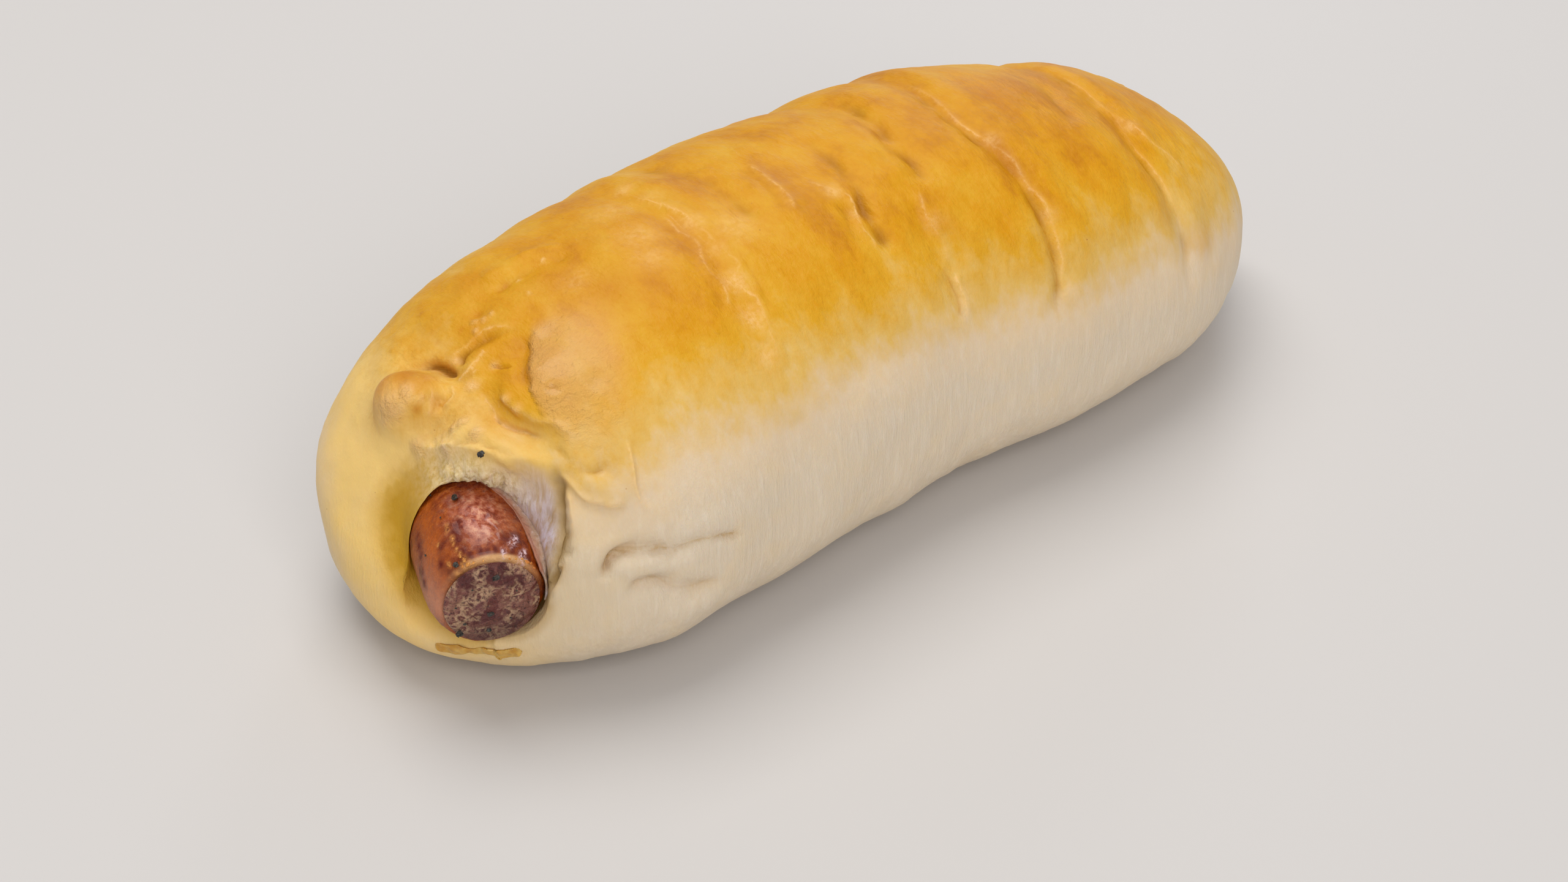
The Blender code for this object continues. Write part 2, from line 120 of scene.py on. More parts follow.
# Marks in the dough. Each has a half width, the heights of its left side, middle and right side,
# the strength of a thin pale line and of a golden line along it, and its route as places along
# the bun and turns round it in degrees. Left is as seen from outside, facing along the route
FOLDS = (
    # the pale double ridge behind the near end
    (1.3, 0.1, 0.4, -0.2, 0.9, 0, ((-27.3, -40), (-27.6, -12), (-26.9, -5), (-25.9, 3), (-26.2, 17),
        (-26.2, 24), (-27.6, 28), (-28, 32), (-27.6, 38), (-29, 49), (-30, 58))),
    (1.2, 0, -0.2, 0, 0, 0.5, ((-24.6, -12), (-24, 3), (-24.2, 17), (-24.6, 26), (-25.8, 34), (-26.4, 42))),
    (1, -0.2, 0.35, 0, 0.8, 0, ((-28.3, -5), (-29, 5), (-28.3, 13), (-30.1, 22), (-30.4, 29), (-31.5, 37))),
    (1.4, 0, -0.25, 0, 0, 0.5, ((-30, 2), (-30.4, 12), (-31.6, 22), (-32.4, 30), (-33.5, 38))),
    (2.4, 0, -0.45, 0, 0, 0.25, ((-21, -45), (-19, -20), (-18.5, -5), (-18, 8), (-18.5, 18))),
    # short creases in the middle of the back
    (0.8, 0.2, -0.3, 0, 0, 0.4, ((-12.1, -9), (-12.1, -1), (-12.8, 10), (-13.9, 18), (-13.9, 25))),
    (0.5, 0, 0.2, 0, 0.6, 0, ((-11.2, -8), (-11.2, 2), (-11.9, 12), (-12.8, 19))),
    (0.5, 0, 0.25, -0.1, 1, 0, ((-6.9, 10), (-5.9, 13), (-5.2, 15), (-4.4, 17))),
    (0.8, -0.15, 0.3, -0.1, 0.9, 0, ((-4.3, 16), (-3.9, 20), (-4.3, 25), (-5.4, 31), (-5.8, 34),
        (-6.5, 38))),
    (1.2, 0, -0.25, 0, 0, 0.6, ((-6.2, 20), (-6.4, 25), (-7.4, 31), (-8, 36))),
    (1.8, 0.25, -0.8, 0, 0, 0.5, ((0.6, -12), (-0.2, 5), (-0.9, 12), (-1.9, 18), (-3.3, 28), (-3.8, 35),
        (-3.9, 42))),
    (1.8, 0, -0.8, 0.3, 0, 0.5, ((12.1, -30), (12.4, -10), (11, 2), (9.9, 10), (9.5, 19), (8.5, 28))),
    (1.2, 0.1, -0.35, 0, 0, 0.5, ((4.6, 30), (3.6, 37), (3, 43), (2.8, 50))),
    (0.9, -0.1, 0.35, -0.1, 0.9, 0, ((6.2, 27), (5, 36), (4.7, 43), (4.3, 50))),
    (0.9, 0, 0.3, -0.15, 0.9, 0, ((4.5, 52), (4.3, 56), (4.1, 61), (4, 66))),
    (0.8, 0, -0.2, 0, 0, 0.6, ((3.2, 50), (2.9, 56), (2.8, 61), (2.6, 67))),
    # the strongest turn of the dough, a golden groove beside a thin pale rim
    (1.5, 0.35, -0.75, 0.2, 0, 0.8, ((23, -50), (23, -21), (22, -4), (21.6, 7), (21.4, 12), (21.4, 17),
        (22, 27), (22.4, 33), (22.1, 41), (22.4, 46), (22.1, 50), (21.6, 55), (20.9, 61), (20, 66),
        (19, 73), (18.6, 84))),
    (0.7, 0, 0.2, 0, 0.75, 0, ((24.6, -30), (24.2, -12), (23.6, 0), (23.1, 9), (22.9, 15), (23.4, 24),
        (24, 32), (23.8, 40), (24, 46), (23.7, 51), (23.1, 56), (22.3, 62), (21.2, 68), (20.2, 76))),
    # the turn by the far end
    (2, 0.3, -0.65, 0.2, 0, 0.2, ((46.5, -60), (48.5, -20), (50.2, 9), (49, 27), (47.8, 40), (48.1, 50),
        (48.1, 58), (47.2, 67), (47.8, 76), (48.1, 82), (47.5, 95))),
    (0.8, 0, 0.2, 0, 0.6, 0, ((51, -10), (50.8, 9), (49.8, 27), (48.8, 40), (49, 50), (49, 58), (48.2, 67),
        (48.6, 76))),
    (0.6, 0, 0.4, -0.2, 0.9, 0, ((50, 14), (50.2, 25), (51.1, 34), (52, 43), (53.7, 51), (54.5, 57))),
    (1.8, 0, -0.4, 0, 0, 0.3, ((44.4, -6), (43.8, 6), (42, 14), (40.9, 21), (40.5, 30))),
    # the slash along the right side and the dents under it
    (1, 0.5, -1.9, 0.45, 0, 1, ((-62.9, 88), (-62.5, 85), (-62, 83.5), (-61, 82), (-59.1, 82), (-57.2, 83),
        (-54.7, 85), (-52, 86))),
    (0.5, 0, -0.8, 0, 0, 1, ((-62.7, 87), (-62.2, 84.5), (-61.6, 82.5), (-60.4, 82), (-56, 83.5))),
    (1.1, 0.3, -0.9, 0.25, 0, 0.6, ((-54, 85), (-50, 85), (-46.5, 87), (-42, 89))),
    (1.8, 0.35, -1.15, 0.3, 0, 0.35, ((-61, 93), (-57, 93), (-53, 97), (-49.9, 98), (-44.5, 99))),
    # the long scar on the near end's top, a ridge with a hollow under it
    (1.5, 0, 0.5, 0, 0, 0, ((-54, -21), (-50.4, -20), (-47.5, -18), (-44.7, -15), (-42.5, -12))),
    (1.1, 0, -0.45, 0, 0, 0.4, ((-54, -13), (-51.5, -13), (-48.5, -12), (-45.3, -9), (-42.8, -6))),
)
PUCKERS = (
    # the crease over the knob, and the thin pale line under it
    (0.7, 0.1, -1.3, 0.3, 0, 1, ((-69, -25), (-67.8, -19), (-67, -15), (-66.4, -11), (-65.5, -4),
        (-65.5, 5))),
    (0.35, 0, 0.2, 0, 0.8, 0, ((-67.2, -13), (-66.7, -10), (-66.2, -7), (-65.7, 0), (-65.9, 4))),
    # the knob's hollow end
    (0.45, 0, 0.45, -0.3, 0.9, 0, ((-67.2, 6), (-67.6, 12), (-68.6, 12), (-69.3, 11))),
    (0.4, 0, 0.35, -0.2, 0.9, 0, ((-68.9, 3), (-69.4, 6), (-70.2, 8), (-70.9, 9))),
    # the golden groove that runs up to the right, and the ridge over it
    (1.4, 0, -0.9, 0, 0, 0.9, ((-65, 3), (-63.9, 0), (-63.4, -1), (-61.3, 0), (-59.3, 3), (-57.4, 6),
        (-55.7, 10))),
    (0.7, 0, 0.4, 0, 0.8, 0, ((-64.4, -6), (-63.6, -5), (-61.5, -4), (-59.1, -2), (-57.6, 1), (-56.4, 6))),
    # the forked pale ridge and the facet's edge
    (0.5, 0, 0.5, 0, 1, 0, ((-66.3, 6), (-64.7, 8), (-62.5, 6), (-61.5, 5))),
    (0.35, 0, 0.3, -0.3, 0.8, 0, ((-64, 12), (-64.6, 15), (-65.4, 17))),
    # the edge of the glossy shoulder
    (1, -0.1, -0.5, 0.35, 0, 0.7, ((-55.5, 10), (-57.4, 15), (-59.1, 20), (-60.5, 23), (-61.1, 26),
        (-61.3, 32), (-60.6, 36))),
    (0.35, 0.15, -0.35, 0.15, 0, 0.7, ((-62, 12), (-61.5, 15), (-61.2, 19))),
    # the crack, with a golden band on each side
    (0.4, 0.15, -0.4, 0.25, 1, 0, ((-64.9, 16), (-65.3, 20), (-65.5, 23), (-65.5, 27), (-65.7, 32),
        (-65.1, 37), (-64.4, 40), (-63.9, 43), (-62.8, 47))),
    (1.1, 0, -0.25, 0, 0, 0.3, ((-65.9, 18), (-66.6, 25), (-66.5, 29), (-66.3, 34))),
    (1.3, 0, -0.25, 0, 0, 0.25, ((-63.6, 17), (-64.5, 22), (-64.6, 27), (-64.3, 33), (-63.6, 40),
        (-62.6, 44))),
    (0.9, 0, 0.5, 0, 0.6, 0, ((-64, 24), (-63.8, 28), (-63.7, 33), (-62.5, 39), (-61.5, 44), (-59.6, 49))),
    # the ledge over the mouth
    (0.7, 0.2, -0.5, -0.1, 0, 0.5, ((-71.4, 29), (-70.5, 32), (-69.5, 35), (-69, 39), (-68.3, 43),
        (-67, 48))),
    (0.8, 0.1, 0.5, -0.3, 0.5, 0, ((-73.8, 13), (-72.6, 20), (-71.6, 28), (-70.4, 36), (-69, 43),
        (-67.2, 51))),
    # folds on the right of the face
    (1.2, 0.1, -0.5, 0.1, 0, 0.6, ((-63, 48), (-62.8, 53), (-62.4, 57), (-60.8, 59), (-58.6, 59))),
    (0.5, 0, 0.45, -0.35, 0.7, 0, ((-64.2, 56), (-63.7, 59), (-63, 64), (-61.5, 67), (-60, 69),
        (-58.4, 68))),
    (0.4, -0.25, 0.35, 0, 1, 0, ((-55.2, 55), (-55.5, 58), (-56.4, 63), (-56.8, 67), (-56.6, 70),
        (-56, 73))),
    # the edge of the lip on the right
    (0.5, 0.1, 0.3, 0, 0.8, 0, ((-64.8, 60), (-64.4, 62), (-64.7, 67), (-65.6, 74), (-66.4, 78),
        (-67.2, 83), (-67.6, 88), (-68.1, 93))),
)

# The puckers come again at the hidden far end, turned about
FAR_FLIP = 7.0
FAR_TURN = 25.0

# Domes with a clear foot: middle, radius and height. The first two make the knob
DOMES = (
    (-72.4, 2, 39, 6.2, 2.1), (-69.6, -1.4, 40, 4.4, 1.1), (-69.2, -8.4, 38.8, 5.2, 0.9),
    (-67.4, 12, 38.8, 4.6, 0.4), (-59, -12.6, 44.2, 6.5, 0.5),
)
DOME_CURVE = 1.5

# Spots: middle, radius, height, and how pale, golden, brown and glossy they are
# The glossy share also lays a painted highlight tone on the crust
SPOTS = (
    # the knob's brown cap and scab, its golden flank, its gloss with a painted highlight in its pale, and the
    # hollow beside it
    (-70.6, 3, 40.6, 2, 0, 0, 0.5, 1, 0), (-72.8, 4.4, 39.6, 1.8, 0, 0, 0.5, 1, 0),
    (-74.2, 4.9, 37.6, 2, 0, 0, 0.4, 0.5, 0), (-69.4, 0.6, 40.6, 1.7, 0, 0, 0.3, 0.7, 0),
    (-71.5, -1, 38.8, 0.7, 0.2, 0, 0.2, 1, 0), (-70.6, -0.8, 39.8, 0.5, 0.2, 0.9, 0, 0, 0.3),
    (-71.1, -0.4, 39.6, 0.4, 0.2, 0.8, 0, 0, 0.3), (-74.8, 5.6, 35.6, 2.4, 0, 0, 0.6, 0.2, 0),
    (-73.4, 1.6, 38.6, 1.6, 0.1, 1.3, 0, 0, 1.4), (-71.9, 0.9, 39.7, 1, 0.1, 1.2, 0, 0, 1.2),
    (-74.4, 1.9, 37, 1, 0, 0.8, 0, 0, 0.7), (-69.5, -2.7, 39.7, 1.1, -0.8, 0, 1, 0.3, 0),
    (-68.7, 5.8, 40, 0.6, 0.2, 0.8, 0, 0, 0.2),
    # golden dough between the knob, the crack and the ledge
    (-70.2, -4.8, 38.4, 2.2, 0, 0, 0.6, 0, 0.2), (-68, -6.4, 39.9, 2.4, 0, 0, 0.55, 0, 0.2),
    (-67.2, -9.8, 39.4, 1.8, 0, 0, 0.5, 0.1, 0), (-72.4, -3, 36.8, 2, 0, 0, 0.35, 0, 0),
    (-66, 2.6, 41.8, 2.6, 0, 0, 0.5, 0.3, 0), (-62.5, -23, 37.6, 2, 0, 0, 0.5, 0, 0),
    (-58.4, -25.4, 37.4, 2.2, 0, 0, 0.4, 0, 0),
    # the pale facet, and the wet marks whose pale is a painted highlight
    (-65.5, -4.6, 41.9, 1, 0.1, 1, 0, 0, 0.6), (-64.5, 1.3, 42.6, 0.8, 0.15, 0.8, 0, 0, 0.4),
    (-61.8, -4.9, 43.6, 0.6, 0.25, 0.9, 0, 0, 0.5), (-63.8, -10.6, 42.2, 0.6, 0.3, 0.9, 0, 0, 0.7),
    (-63.7, -12.7, 41.7, 0.7, 0.3, 0.8, 0, 0, 0.7), (-69.2, -7.6, 38.8, 0.7, 0.3, 0.7, 0, 0, 1),
    (-69.1, -10.6, 38.7, 0.7, 0.3, 0.8, 0, 0, 1), (-72.1, -7.4, 35.9, 0.9, 0.35, 0.9, 0, 0, 1),
    (-73.8, -3, 34.8, 1.1, 0.35, 0.9, 0, 0, 1), (-70, -7.1, 38.1, 0.5, 0.3, 0.8, 0, 0, 1),
    # scars on the top of the near end
    (-57.6, 4.7, 45.2, 0.8, -0.4, 0, 0, 1, 0), (-58.9, 3.7, 44.9, 0.5, 0.3, 0.8, 0, 0.1, 0.4),
    (-58, 2.8, 45.4, 0.5, 0.3, 0.9, 0, 0, 0.4), (-56.9, 2.5, 46, 0.4, 0.3, 0.8, 0, 0, 0.4),
    (-59.8, 2.2, 44.8, 0.5, 0.3, 0.9, 0, 0, 0.4), (-58.4, 3.2, 45.2, 1.3, 0, 0, 0, 0.5, 0),
    (-60.7, 4.4, 44.3, 0.7, -0.15, 0, 0, 0.8, 0), (-61.3, 4.1, 44, 0.6, 0, 0, 0, 0.6, 0),
    (-63, 8.3, 42.9, 0.8, 0, 0, 0, 0.6, 0), (-63.8, 6, 42.8, 0.7, 0, 0, 0, 0.6, 0),
    (-60.7, 7.4, 44.1, 0.6, 0, 0, 0, 0.5, 0), (-61.1, 13.2, 42.3, 0.7, 0, 0, 0, 0.6, 0),
    (-59.2, -14.6, 44, 0.6, -0.3, 0, 0.5, 0.6, 0), (-52, 6.1, 47, 0.7, -0.25, 0, 0, 1, 0),
    (-53.1, 5.9, 46.6, 0.7, -0.2, 0, 0, 0.8, 0), (-51.5, 1.1, 47.8, 0.3, 0.2, 0.9, 0, 0, 0),
    (-50.3, 5.2, 47.3, 0.35, 0.25, 0.8, 0, 0, 0), (-46, 5.4, 48.7, 0.4, 0.25, 0.9, 0, 0, 0),
    # golden hollows in the glossy patch
    (-53, -18.8, 44.2, 2, -0.2, 0, 0.45, 0, 0), (-54.2, -17.2, 44.8, 1.4, -0.2, 0, 0.5, 0, 0),
    (-53.7, -20.6, 43.1, 1.6, -0.1, 0, 0.35, 0, 0), (-58.6, -17.3, 43.1, 1.3, -0.2, 0, 0.45, 0, 0),
    (-59.2, -14.6, 44, 0.8, -0.2, 0, 0.6, 0.2, 0),
)

# Blotches of deeper brown: place along the bun, turn round it, radius and strength
BLOTCHES = (
    (-36.6, -20, 4, 0.35), (-33.2, -8, 4, 0.3), (-23, -7, 4, 0.3), (-60, -10, 6, 0.3), (6.9, 40, 2.2, 0.45),
    (40.2, 25, 4, 0.45), (45.3, 30, 3.5, 0.45), (44.7, 64, 3, 0.3), (52.5, 78, 2.5, 0.3), (33, 5, 8, 0.35),
    (16, 5, 6, 0.25), (60, 10, 6, 0.35), (-44, 14, 4, 0.5), (-38, 22, 4, 0.4), (-48, -2, 3.5, 0.5),
    (-55, -26, 4, 0.5), (-62, -22, 4, 0.4), (-40, -8, 3, 0.4),
)

# Pale speckled patches along the double ridge and the folds
PALE_PATCHES = (
    (-27.4, -22, 1.5, 0.6), (-26.9, -12, 1.7, 0.3), (-26.2, 6, 1.9, 0.6), (-26.8, 18, 1.8, 0.35),
    (-28.2, 30, 1.8, 0.9), (-29.7, 41, 1.8, 0.8), (-31, 51, 1.6, 0.7), (-5, 16, 1.3, 0.9),
    (-4.6, 26, 1, 0.7), (5.4, 38, 1.5, 0.6), (-34.5, 2, 3, 0.5), (-36, 12, 2.5, 0.45), (-33, -14, 3, 0.4),
    (-22, 14, 3, 0.45), (-46, 4, 2.5, 0.35), (4.3, 60, 1.5, 0.8), (24, 22, 1.3, 0.7), (23.6, 50, 1.3, 0.7),
    (21.6, 70, 1.4, 0.6), (51, 34, 1.4, 0.7),
)

# Soft random relief: height, size of its lumps along, across and up, and its seed
LUMPS = ((0.5, (12, 16, 16), 1), (0.22, (4.5, 7, 7), 2), (0.07, (1.5, 2.4, 2.4), 3))

# The glossy patch also gets a painted highlight tone
# Glossy patch on the near end's right shoulder: turns of its top and foot at places along the bun
GLOSS_TOP = ((-62.5, 42), (-61.3, 27), (-58.2, 17), (-55.1, 8), (-50.6, 1), (-46.5, 6), (-43.5, 16))
GLOSS_FOOT = ((-62.5, 50), (-61.1, 54), (-56.7, 54), (-51.7, 47), (-48.7, 40), (-45.7, 32), (-43.5, 24))
GLOSS_WANDER = 3.0
GLOSS_ENDS = (-62.5, 1.5, -42.0, 9.0)
GLOSS_EDGE = (3.5, 16.0)
GLOSS_EDGE_RUN = (-56.0, 6.0)
GLOSS_LOSS = 0.55
GLOSS_LOSS_RUN = (-58.0, 12.0)
GLOSS_FOOT_FADE = (6.0, 22.0)

# Mouth of the bun, measured from the link: the dough closes on it, and sinks beside it on the left.
# Bands are clearances, and arcs are angles round the link. A pair gives a start and a run, or a
# middle and a spread, and four numbers give a start, its run, an end and its run
CONTACT_GAP = 0.1
CONTACT_REACH = 5.5
CONTACT_RUN = (-1.5, 2.0, 22.0, 4.0)
MOUTH_BACK = -56.0
MOUTH_RUN = (-2.0, 4.0, 20.0, 4.0)
POCKET_DEPTH = 1.3
POCKET_REACH = 8.5
GROOVE_COURSE = (
    (122, 9.8), (128, 8.4), (132, 6.9), (136, 5.6), (146, 4.2), (160, 2.4), (176, 0.8), (200, 0.4),
)
GROOVE_WANDER = 0.5
GROOVE_WIDTH = 1.3
GROOVE_DEPTH = 1.1
GROOVE_ARC = (122.0, 8.0, 205.0, 20.0)
WALL_BAND = (0.6, 1.2)
WET_ARC = (146.0, 22.0)
TORN_ARC = (98.0, 38.0)
TORN_BAND = (2.2, 2.6)
TORN_RUN = (4.0, 5.0)
TORN_RELIEF = 1.5
TORN_LEVEL = 0.2
TORN_CRUMBS = 0.6
# The yellow on the mouth's left is a painted glow of light bounced through the dough
YELLOW_RUN = (-60.0, -10.0)
YELLOW_BAND = (22.0, -14.0)
CREAM_BAND = 9.0
SHADE_BAND = (2.4, -2.0)
SHADE_ARC = (170.0, 30.0, 330.0, 25.0)
SHADE_RUN = (-1.0, 2.0)

# Torn dough that clings to the casing on the right: the angles of its left border at distances from
# the near tip, its ends, its far side, its height over the casing, its raggedness and its thickness
FILM_EDGE = ((1.1, 155), (2, 146), (4, 139), (6.4, 134), (8.5, 128), (10.4, 120), (11.8, 110), (13, 100))
FILM_EDGE_FADE = 16.0
FILM_STAIN = (1.0, 11.0)
FILM_COVER = 0.9
FILM_START = 1.0
FILM_END = 13.5
FILM_SIDE = 196.0
FILM_SINK = -0.35
FILM_LIFT = 0.55
FILM_RAG = 0.3
FILM_LUMPS = ((1, (1.4, 1.4, 1), 51), (0.5, 0.6, 52))
FILM_THICKNESS = 0.3
FILM_STEPS = 110
FILM_TAPER = 0.2
FILM_FAR_TAPER = 0.1

# Link, a straight run that curls to the right behind the near mouth
LINK_RADIUS = 8.6
CUT_RADIUS = 6.9
LINK_TAPER = 6.5
LINK_SHIFT = 4.5
LINK_LEVEL = 25.0
LINK_FAR_TIP = 77.5
FAR_DROP = 8.5
FAR_DROP_RUN = 50.0
NEAR_DROP = 4.6
CURL_START = -44.9
CURL_RADIUS = 30.0
CURL_ANGLE = math.radians(67.0)
CURL_TIP = 8.4
LINK_LENGTH = LINK_FAR_TIP - CURL_START + CURL_RADIUS * CURL_ANGLE + CURL_TIP
LINK_CHECKS = 241

# Casing: the skin's edge round each cut, its wrinkles, and where its colours lie. An arc is the middle
# and the spread of angles round the link, and a run is those of distances from the near tip
CASING_LEVELS = 3
CUT_CHECK = 0.05
CUT_SINK = 1.0
SKIN_EDGE = 0.45
SKIN_LIFT = 0.3
SKIN_LIFT_REACH = 0.9
SKIN_ARC = (100.0, 45.0)
SIDE_BAND = (-1.2, 0.8)
END_ZONE = (22.0, -4.0)
CASING_LUMPS = ((0.25, (4, 4, 5), 11), (0.1, (0.9, 1.6, 1.1), 12))
# The pink patch over the top is a painted sheen
PINK_WRINKLES = 0.45
PINK_ARC = (92.0, 26.0)
PINK_RUN = (7.5, 4.6)
PINK_END = 20.0
GREASE_ARC = (115.0, 45.0)
GREASE_RUN = (5.0, 6.0)
GREASE_START = (0.4, 1.0)
RIM_ARC = (105.0, 45.0)
RIM_BAND = (1.5, -0.35)
ORANGE_ARC = (38.0, 16.0)
ORANGE_RUN = (9.0, 7.0)
LOW_SPREAD = 30.0
LOW_RUN = 7.0

# Small patches on the casing, of dark smoke with a painted shadow line by the rim among them, amber
# grains of fat and painted pale glints: distance from the near tip, angle round the link and radius
SMOKE_AND_SHADOW_SPOTS = (
    (8.4, 72, 0.6), (7.2, 69, 0.9), (5.6, 66, 1.1), (4.2, 65, 1.2), (2.8, 66, 1), (1.8, 72, 0.6),
    (10.2, 25, 0.7), (8.8, 23, 0.9), (7.4, 21, 0.9), (5.8, 12, 1), (4.4, 8, 0.8), (3, 40, 0.6),
    # the three at 1.8 from the tip, from 84 to 100 degrees, are a painted shadow line above the rim
    (1.8, 84, 0.5), (1.8, 92, 0.5), (1.8, 100, 0.5), (3.2, 113, 0.9), (2.1, 121, 0.9), (1.3, 108, 0.6),
    (3.6, 126, 0.8), (1.6, 141, 0.7), (12.2, 78, 0.6), (5, 48, 0.7),
)
AMBER_SPOTS = (
    (8, 60, 0.35), (7.3, 58, 0.3), (6.4, 60, 0.25), (5, 61, 0.35), (4.2, 60, 0.25), (3.2, 61, 0.3),
    (2.4, 63, 0.3), (1.6, 65, 0.35), (0.9, 68, 0.55), (0.5, 75, 0.55), (1.2, 60, 0.35), (5.6, 45, 0.25),
    (0.6, 126, 0.5), (0.5, 133, 0.65), (0.8, 140, 0.45), (0.4, 147, 0.5), (2.2, 48, 0.3), (0.9, 50, 0.4),
)
# Painted glints of reflected light
GLINT_SPOTS = (
    (1.5, 109, 0.4), (2.9, 121, 0.45), (2.4, 117, 0.35), (3.5, 124, 0.4), (1.5, 130, 0.45), (2, 134, 0.4),
    (1.2, 137, 0.3), (0.9, 133, 0.35),
)

# Cut meat, a lens set into each end of the casing
MEAT_RADIUS = 6.55
MEAT_BULGE = 0.75
MEAT_SINK = 0.45
MEAT_SIDES = 160
MEAT_RINGS = 80
MEAT_LUMPS = ((0.34, 2, 21), (0.26, 0.8, 22))
MEAT_LEVEL = 0.1
MEAT_RIM = 0.3
# Painted shade darkens each cut below its middle
MEAT_LOW = (-1.0, -5.0)

# Cracked pepper: on the casing as distance from the tip, angle round the link and size,
# on the cut as places to the left and up from its middle and size, and one in the dough as its
# place, the way it faces and its size
CASING_FLAKES = ((10.7, 75, 1), (1.1, 57, 1), (5.9, 30, 0.4), (13, 52, 0.35), (8.8, 58, 0.3))
CUT_FLAKES = (
    (-0.7, 4.6, 1), (0.4, -1.3, 0.8), (0.8, -4, 0.75), (4.8, -3.8, 1), (4, -2.2, 0.45), (-3.3, 1.8, 0.3),
    (2.6, 3.3, 0.3), (-2.2, -2.6, 0.3), (5, 0.8, 0.35),
)
DOUGH_FLAKE = ((-70.5, -13.2, 37.9), (-0.6, -0.4, 0.7), 1.1)
FLAKE_SHAPE = (1.0, 0.8, 0.6)
FLAKE_CRUMPLE = 0.35

# Amber flap of soaked dough under the near cut: its ends, breadth, height over the dough and raggedness
FLAP_START = (-79.3, -13.0, 8.6)
FLAP_END = (-73.0, -21.6, 10.0)
FLAP_BREADTH = 0.9
FLAP_LIFT = 0.25
FLAP_RAG = 0.7
FLAP_THICKNESS = 0.25
FLAP_CUTS = 4

# Beads of amber fat along the skin's edge: distance from the near tip, angle round the link and radius
BEADS = (
    (0.5, 62, 0.2), (0.4, 68, 0.3), (0.3, 74, 0.2), (0.9, 66, 0.18), (0.5, 126, 0.2), (0.4, 132, 0.3),
    (0.5, 138, 0.22), (0.3, 143, 0.22), (0.2, 84, 0.15), (0.2, 112, 0.15), (1.6, 64, 0.15),
    (0.3, 119, 0.16),
)
BEAD_SHAPE = (1.0, 1.0, 0.6)
BEAD_CRUMPLE = 0.8
BEAD_SIDES = 20
BEAD_RINGS = 12


def tone(red, green, blue):
    """Colour for a shader from its screen values."""
    linear = [((value / 255 + 0.055) / 1.055) ** 2.4 for value in (red, green, blue)]
    return (*linear, 1.0)


def ease(value):
    """Ease each value from 0 to 1."""
    value = np.clip(value, 0.0, 1.0)
    return value * value * (3.0 - 2.0 * value)


def rise(value, start, run):
    """Ease from 0 at a start to 1 a run later, or earlier where the run is negative."""
    return ease((value - start) / run)


def between(value, start, run, end, fall):
    """Ease up from a start over one run, and down to an end over another."""
    return rise(value, start, run) * rise(value, end, -fall)


def bell(value):
    """Fall smoothly from 1 at nought."""
    return np.exp(-np.square(value))


def hump(value, middle, spread):
    """Fall smoothly from 1 at a middle."""
    return bell((value - middle) / spread)


def course(value, table):
    """Follow a table of pairs."""
    return np.interp(value, *np.array(table).T)


def drift(points, size, seed):
    """Soft random height at each point, with lumps of one size."""
    shift = Vector((17.3, 5.1, 11.7)) * seed
    scaled = points / np.asarray(size)
    return np.array([noise.noise(Vector(point) + shift) for point in scaled])


def lumpy(points, lumps):
    """Sum of several random heights."""
    return sum(amount * drift(points, size, seed) for amount, size, seed in lumps)


def pick(*pieces):
    """Select some pieces alone."""
    bpy.ops.object.select_all(action="DESELECT")
    for piece in pieces:
        piece.select_set(True)
    bpy.context.view_layer.objects.active = pieces[0]


def new_object(name, data):
    """Add an object with its data to the scene."""
    piece = bpy.data.objects.new(name, data)
    bpy.context.scene.collection.objects.link(piece)
    return piece


def new_piece(primitive, name, **sizes):
    """Add a primitive under a name."""
    bpy.ops.object.select_all(action="DESELECT")
    primitive(**sizes)
    piece = bpy.context.object
    piece.name = name
    return piece


def edit(piece, *steps, chosen="SELECT"):
    """Run steps on the mesh of a piece, with all or none of it selected first."""
    pick(piece)
    bpy.ops.object.mode_set(mode="EDIT")
    bpy.ops.mesh.select_all(action=chosen)
    for step, options in steps:
        step(**options)
    bpy.ops.object.mode_set(mode="OBJECT")


def modify(piece, kind, **settings):
    """Apply a modifier to a piece."""
    pick(piece)
    modifier = piece.modifiers.new(kind, kind)
    for name, value in settings.items():
        setattr(modifier, name, value)
    bpy.ops.object.modifier_apply(modifier=modifier.name)


def face_outward(piece):
    """Turn all the faces of a piece outward."""
    edit(piece, (bpy.ops.mesh.normals_make_consistent, {"inside": False}))


def joined_copy(solid, name):
    """Copy a solid as one joined skin of four-sided faces."""
    piece = new_object(name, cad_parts[solid].data.copy())
    pick(piece)
    bpy.ops.mesh.customdata_custom_splitnormals_clear()
    edit(
        piece,
        (bpy.ops.mesh.remove_doubles, {"threshold": MERGE_GAP}),
        (bpy.ops.mesh.tris_convert_to_quads, {}),
    )
    return piece


def rows_of(items, name):
    """Rows of three numbers, one for each point of a mesh."""
    rows = np.empty(len(items) * 3)
    items.foreach_get(name, rows)
    return rows.reshape(-1, 3)


def points_of(piece):
    """Points of a piece, in millimetres."""
    return rows_of(piece.data.vertices, "co") / MM


def normals_of(piece):
    """Outward directions at the points of a piece."""
    return rows_of(piece.data.vertex_normals, "vector")


def set_points(piece, points):
    """Move the points of a piece to new places, in millimetres."""
    piece.data.vertices.foreach_set("co", (points * MM).ravel())
    piece.data.update()


def settle(piece, points, place, facing):
    """Turn a small piece to face a way, and put it in its place."""
    turn = np.array(Vector(facing).to_track_quat("Z", "Y").to_matrix())
    set_points(piece, points @ turn.T + place)


def join(pieces, name):
    """Make one piece of several."""
    pick(*pieces)
    bpy.ops.object.join()
    bpy.context.object.name = name
    return bpy.context.object


